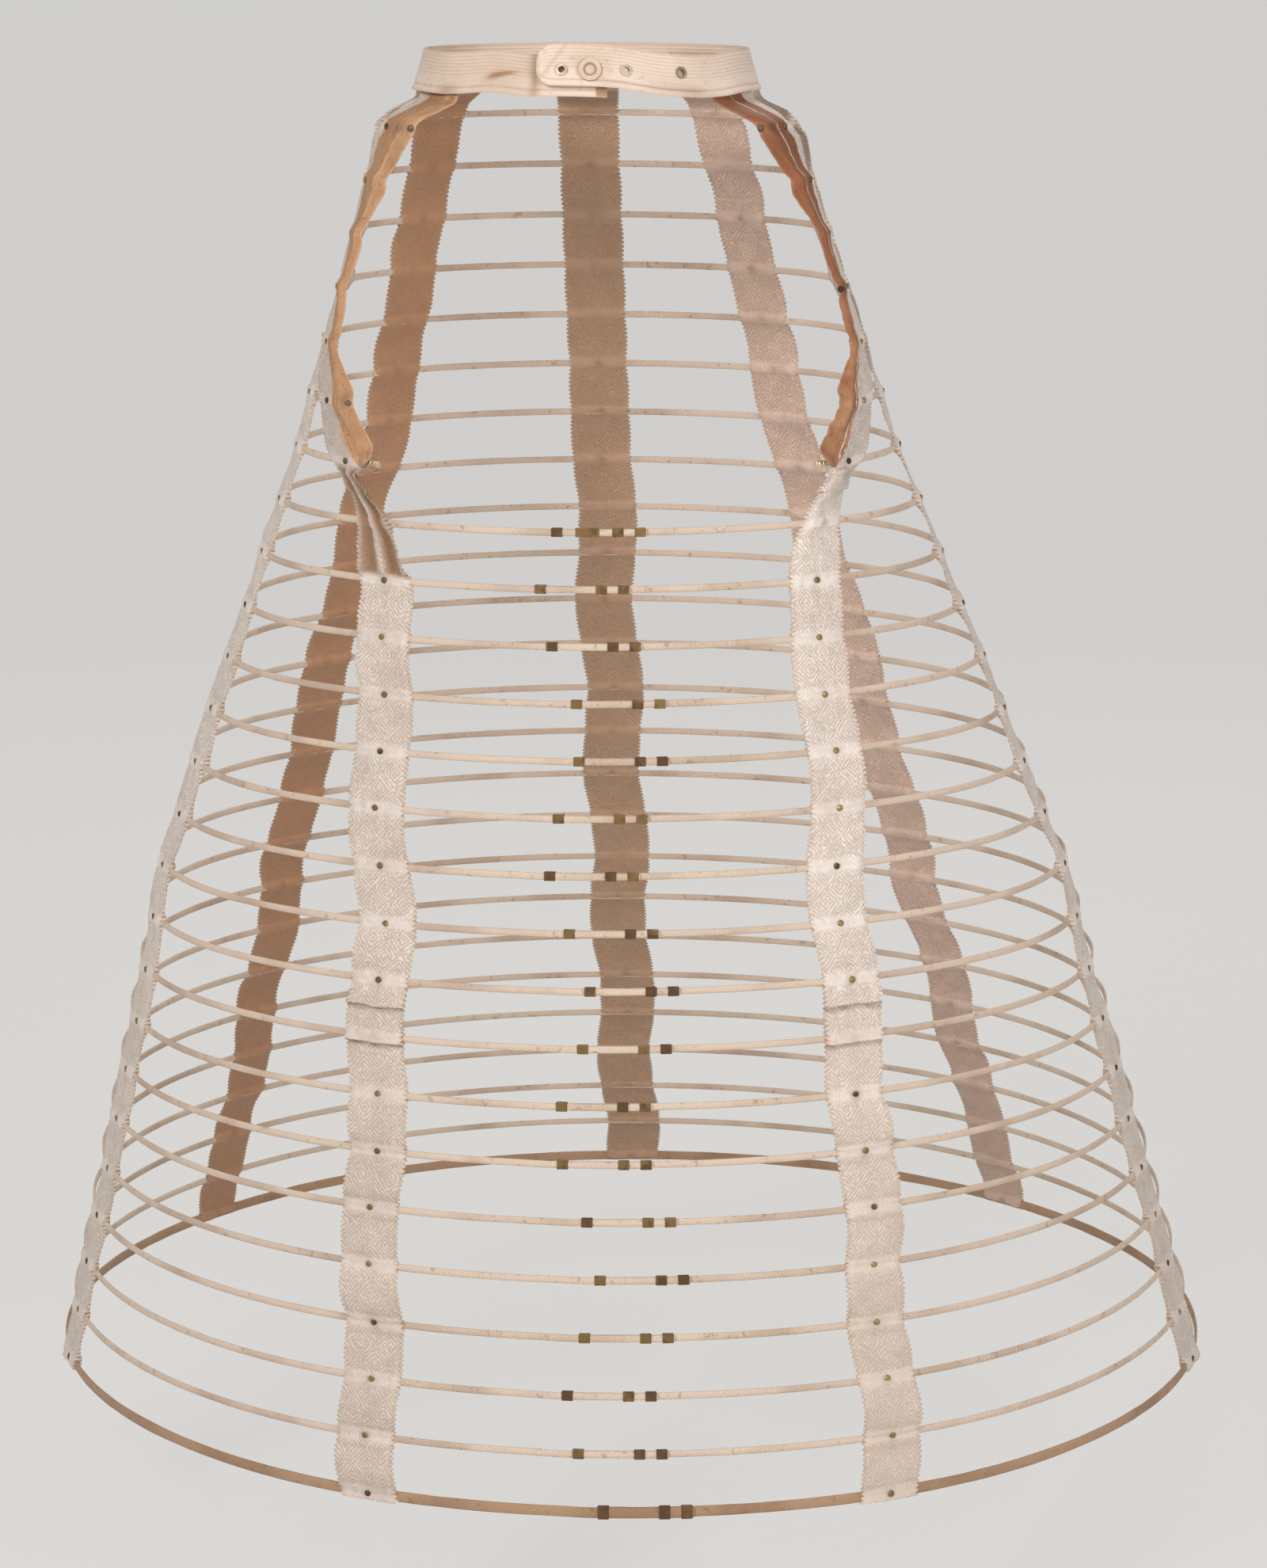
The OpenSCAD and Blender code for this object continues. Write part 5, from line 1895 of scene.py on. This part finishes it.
@dataclass
class Studio:
    """Pale floor, soft light and the camera at the photograph's angle."""

    floor_drop: float = 0.12
    floor_colour: Colour = (0.66, 0.65, 0.64)
    ground_colour: Colour = (0.76, 0.75, 0.735)
    evenness: float = 0.7
    floor_size: float = 14.0
    wall_height: float = 8.0
    sweep_radius: float = 3.0
    sweep_segments: int = 24
    sky_colour: Colour = (1.0, 0.985, 0.965)
    sky_strength: float = 0.40
    aim_place: tuple[float, float, float] = (0.0, 0.0, -0.42)
    sensor_width: float = 36.0
    focal_pixels: float = 6239.0
    image_height: float = 1980.0
    camera_place: tuple[float, float, float] = (0.0315, -3.34, 0.149)
    pitch_down: float = 10.80

    def build(self) -> None:
        """Sets the floor, the light and the camera."""
        self.floor()
        self.lights()
        self.camera()
        scene = bpy.context.scene
        scene.view_settings.view_transform = "Standard"

    def floor(self) -> None:
        """Lays a floor that sweeps up into a backdrop."""
        low = CAD_BOX[0][2] - self.floor_drop
        Bench.deselect()
        bpy.ops.mesh.primitive_plane_add(size=self.floor_size, location=(0.0, 0.0, low))
        sweep = bpy.context.object
        sweep.name = "studio_sweep"
        Bench.settle()
        bpy.ops.object.mode_set(mode="EDIT")
        bpy.ops.mesh.select_all(action="DESELECT")
        bpy.ops.object.mode_set(mode="OBJECT")
        for edge in sweep.data.edges:
            edge.select = all(sweep.data.vertices[i].co.y > 1.0 for i in edge.vertices)
        bpy.ops.object.mode_set(mode="EDIT")
        bpy.ops.mesh.select_mode(type="EDGE")
        bpy.ops.mesh.extrude_region_move(TRANSFORM_OT_translate={"value": (0.0, 0.0, self.wall_height)})
        bpy.ops.object.mode_set(mode="OBJECT")
        bend = sweep.modifiers.new("sweep", "BEVEL")
        bend.width = self.sweep_radius
        bend.segments = self.sweep_segments
        bpy.ops.object.modifier_apply(modifier=bend.name)
        Bench.soften(sweep, 60.0)
        sweep.data.materials.append(self.paper())

    def paper(self) -> bpy.types.Material:
        """Makes the ground's finish: matt paper that looks evenly pale and keeps a soft shadow.

        Returns:
            The material.
        """
        material = bpy.data.materials.new("studio_paper")
        material.use_nodes = True
        s = Shader(material.node_tree)
        matt = s.add("BsdfDiffuse")
        matt.inputs["Color"].default_value = (*self.floor_colour, 1.0)
        even = s.add("Emission")
        even.inputs["Color"].default_value = (*self.ground_colour, 1.0)
        rays = s.add("LightPath").outputs
        seen = s.math("MAXIMUM", rays["Is Camera Ray"], rays["Is Glossy Ray"])
        seen = s.math("MAXIMUM", seen, rays["Is Transmission Ray"])
        both = s.add("MixShader")
        s.join(s.math("MULTIPLY", seen, self.evenness), both.inputs[0])
        s.join(matt.outputs[0], both.inputs[1])
        s.join(even.outputs[0], both.inputs[2])
        s.join(both.outputs[0], s.add("OutputMaterial").inputs[0])
        return material

    def lights(self) -> None:
        """Hangs a broad key light, a fill and a rim, over an even sky."""
        world = bpy.data.worlds.new("studio_sky")
        world.use_nodes = True
        sky = world.node_tree.nodes["Background"]
        sky.inputs["Color"].default_value = (*self.sky_colour, 1.0)
        sky.inputs["Strength"].default_value = self.sky_strength
        bpy.context.scene.world = world
        for name, place, size, power, colour in (
            ("key", (-1.7, -3.0, 1.5), 1.1, 90.0, (1.0, 0.975, 0.94)),
            ("fill", (2.2, -2.8, 0.5), 1.4, 56.0, (1.0, 0.98, 0.96)),
            ("rim", (0.6, 2.6, 1.9), 1.6, 26.0, (1.0, 0.95, 0.88)),
        ):
            light = bpy.data.lights.new(name, "AREA")
            light.size = size
            light.energy = power
            light.color = colour
            lamp = bpy.data.objects.new(name, light)
            bpy.context.collection.objects.link(lamp)
            lamp.location = place
            aim = np.array(self.aim_place) - np.array(place)
            lamp.rotation_euler = (
                math.atan2(math.hypot(aim[0], aim[1]), -aim[2]), 0.0, math.atan2(aim[1], aim[0]) - math.pi / 2
            )

    def camera(self) -> None:
        """Stands the camera where the photograph was taken."""
        lens = bpy.data.cameras.new("camera")
        lens.sensor_width = self.sensor_width
        lens.lens = self.focal_pixels / self.image_height * lens.sensor_width
        lens.clip_start, lens.clip_end = 0.05, 60.0
        camera = bpy.data.objects.new("camera", lens)
        bpy.context.collection.objects.link(camera)
        camera.location = self.camera_place
        camera.rotation_euler = (math.radians(90.0 - self.pitch_down), 0.0, 0.0)
        bpy.context.scene.camera = camera


def make_finishes(effects: SharedEffects) -> dict[str, bpy.types.Material]:
    """Makes every finish of the cage.

    Args:
        effects: The shared node groups.

    Returns:
        The materials by name.
    """
    finishes = [
        # The tapes are one cotton. Their colours differ partly as painted light and shade: the side tapes and
        # the right front tape are painted lighter and the left front tape darker, for how the light falls on
        # each, and the left back tape is darker and browner, partly stained and partly painted shade.
        TapeCotton("tape_front_left", (0.77, 0.67, 0.60), 0.85, tan=(0.31, 0.165, 0.085), inner_tan=0.55),
        TapeCotton("tape_front_right", (0.87, 0.765, 0.69), 0.85, inner_tan=0.45, soil=0.6),
        TapeCotton("tape_side", (0.86, 0.77, 0.70), 0.85, inner_tan=0.4),
        TapeCotton("tape_back_left", (0.64, 0.445, 0.305), 0.85, tan=(0.45, 0.225, 0.115), inner_tan=0.85),
        TapeCotton("tape_back_right", (0.82, 0.61, 0.51), 0.85, inner_tan=0.12),
        TapeCotton("tape_back_centre", (0.62, 0.48, 0.37), 0.85, tan=(0.45, 0.24, 0.125), inner_tan=0.6),
        HoopBraid("hoop_braid", (0.74, 0.60, 0.485), 0.75),
        BandCotton("band_cotton", (0.74, 0.615, 0.525), 0.85),
        HoopBraid("hem_braid", (0.46, 0.29, 0.175), 0.8, brown=(0.20, 0.10, 0.05)),
        FacingLeather(
            "facing_tan", (0.43, 0.235, 0.12), 0.68, mottling=0.35, seam=(0.62, 0.42, 0.26), seam_share=0.45
        ),
        FacingLeather(
            "facing_sienna", (0.26, 0.092, 0.036), 0.68, mottling=0.5,
            seam=(0.80, 0.70, 0.60), seam_share=0.85, fade_share=0.75,
        ),
        OldMetal("stud_brass", (0.42, 0.31, 0.13), 0.35, amount=0.75),
        OldMetal("stud_iron", (0.20, 0.15, 0.11), 0.45, tarnish=(0.05, 0.025, 0.012), amount=0.9),
        OldMetal("clip_brass", (0.30, 0.19, 0.08), 0.45, tarnish=(0.11, 0.058, 0.026), amount=0.85),
        OldMetal("ferrule_brass", (0.80, 0.68, 0.46), 0.3, tarnish=(0.30, 0.20, 0.10), amount=0.5),
        OldMetal("eyelet_brass", (0.52, 0.42, 0.29), 0.45, tarnish=(0.28, 0.20, 0.125), amount=0.7),
        ButtonCloth("button_cloth", (0.68, 0.54, 0.43), 0.85),
    ]
    return {finish.name: finish.make(effects) for finish in finishes}


def main() -> None:
    """Builds the cage piece by piece and sets the studio."""
    logging.basicConfig(level=logging.INFO, format="%(message)s")
    finishes = make_finishes(SharedEffects())
    for tape in Tape:
        finish = "tape_side" if tape.is_side else f"tape_{tape.label}"
        WovenTape(tape, finishes[finish]).build()
    for k in range(FORM.hem + 1):
        BraidedHoop(k, finishes["hem_braid" if k == FORM.hem else "hoop_braid"]).build()
    band = Waistband(finishes["band_cotton"])
    band.build()
    RingButton(finishes["button_cloth"]).build(band.front_turn(3.0), band)
    LeatherFacing(Tape.FRONT_LEFT, finishes["facing_tan"]).build()
    LeatherFacing(Tape.FRONT_RIGHT, finishes["facing_sienna"], scallop=1.4).build()
    HoopFerrules(finishes["ferrule_brass"]).build()
    Fittings(
        finishes["stud_brass"], finishes["stud_iron"], finishes["clip_brass"], finishes["eyelet_brass"]
    ).dress()
    Studio().build()


if __name__ == "__main__":
    main()
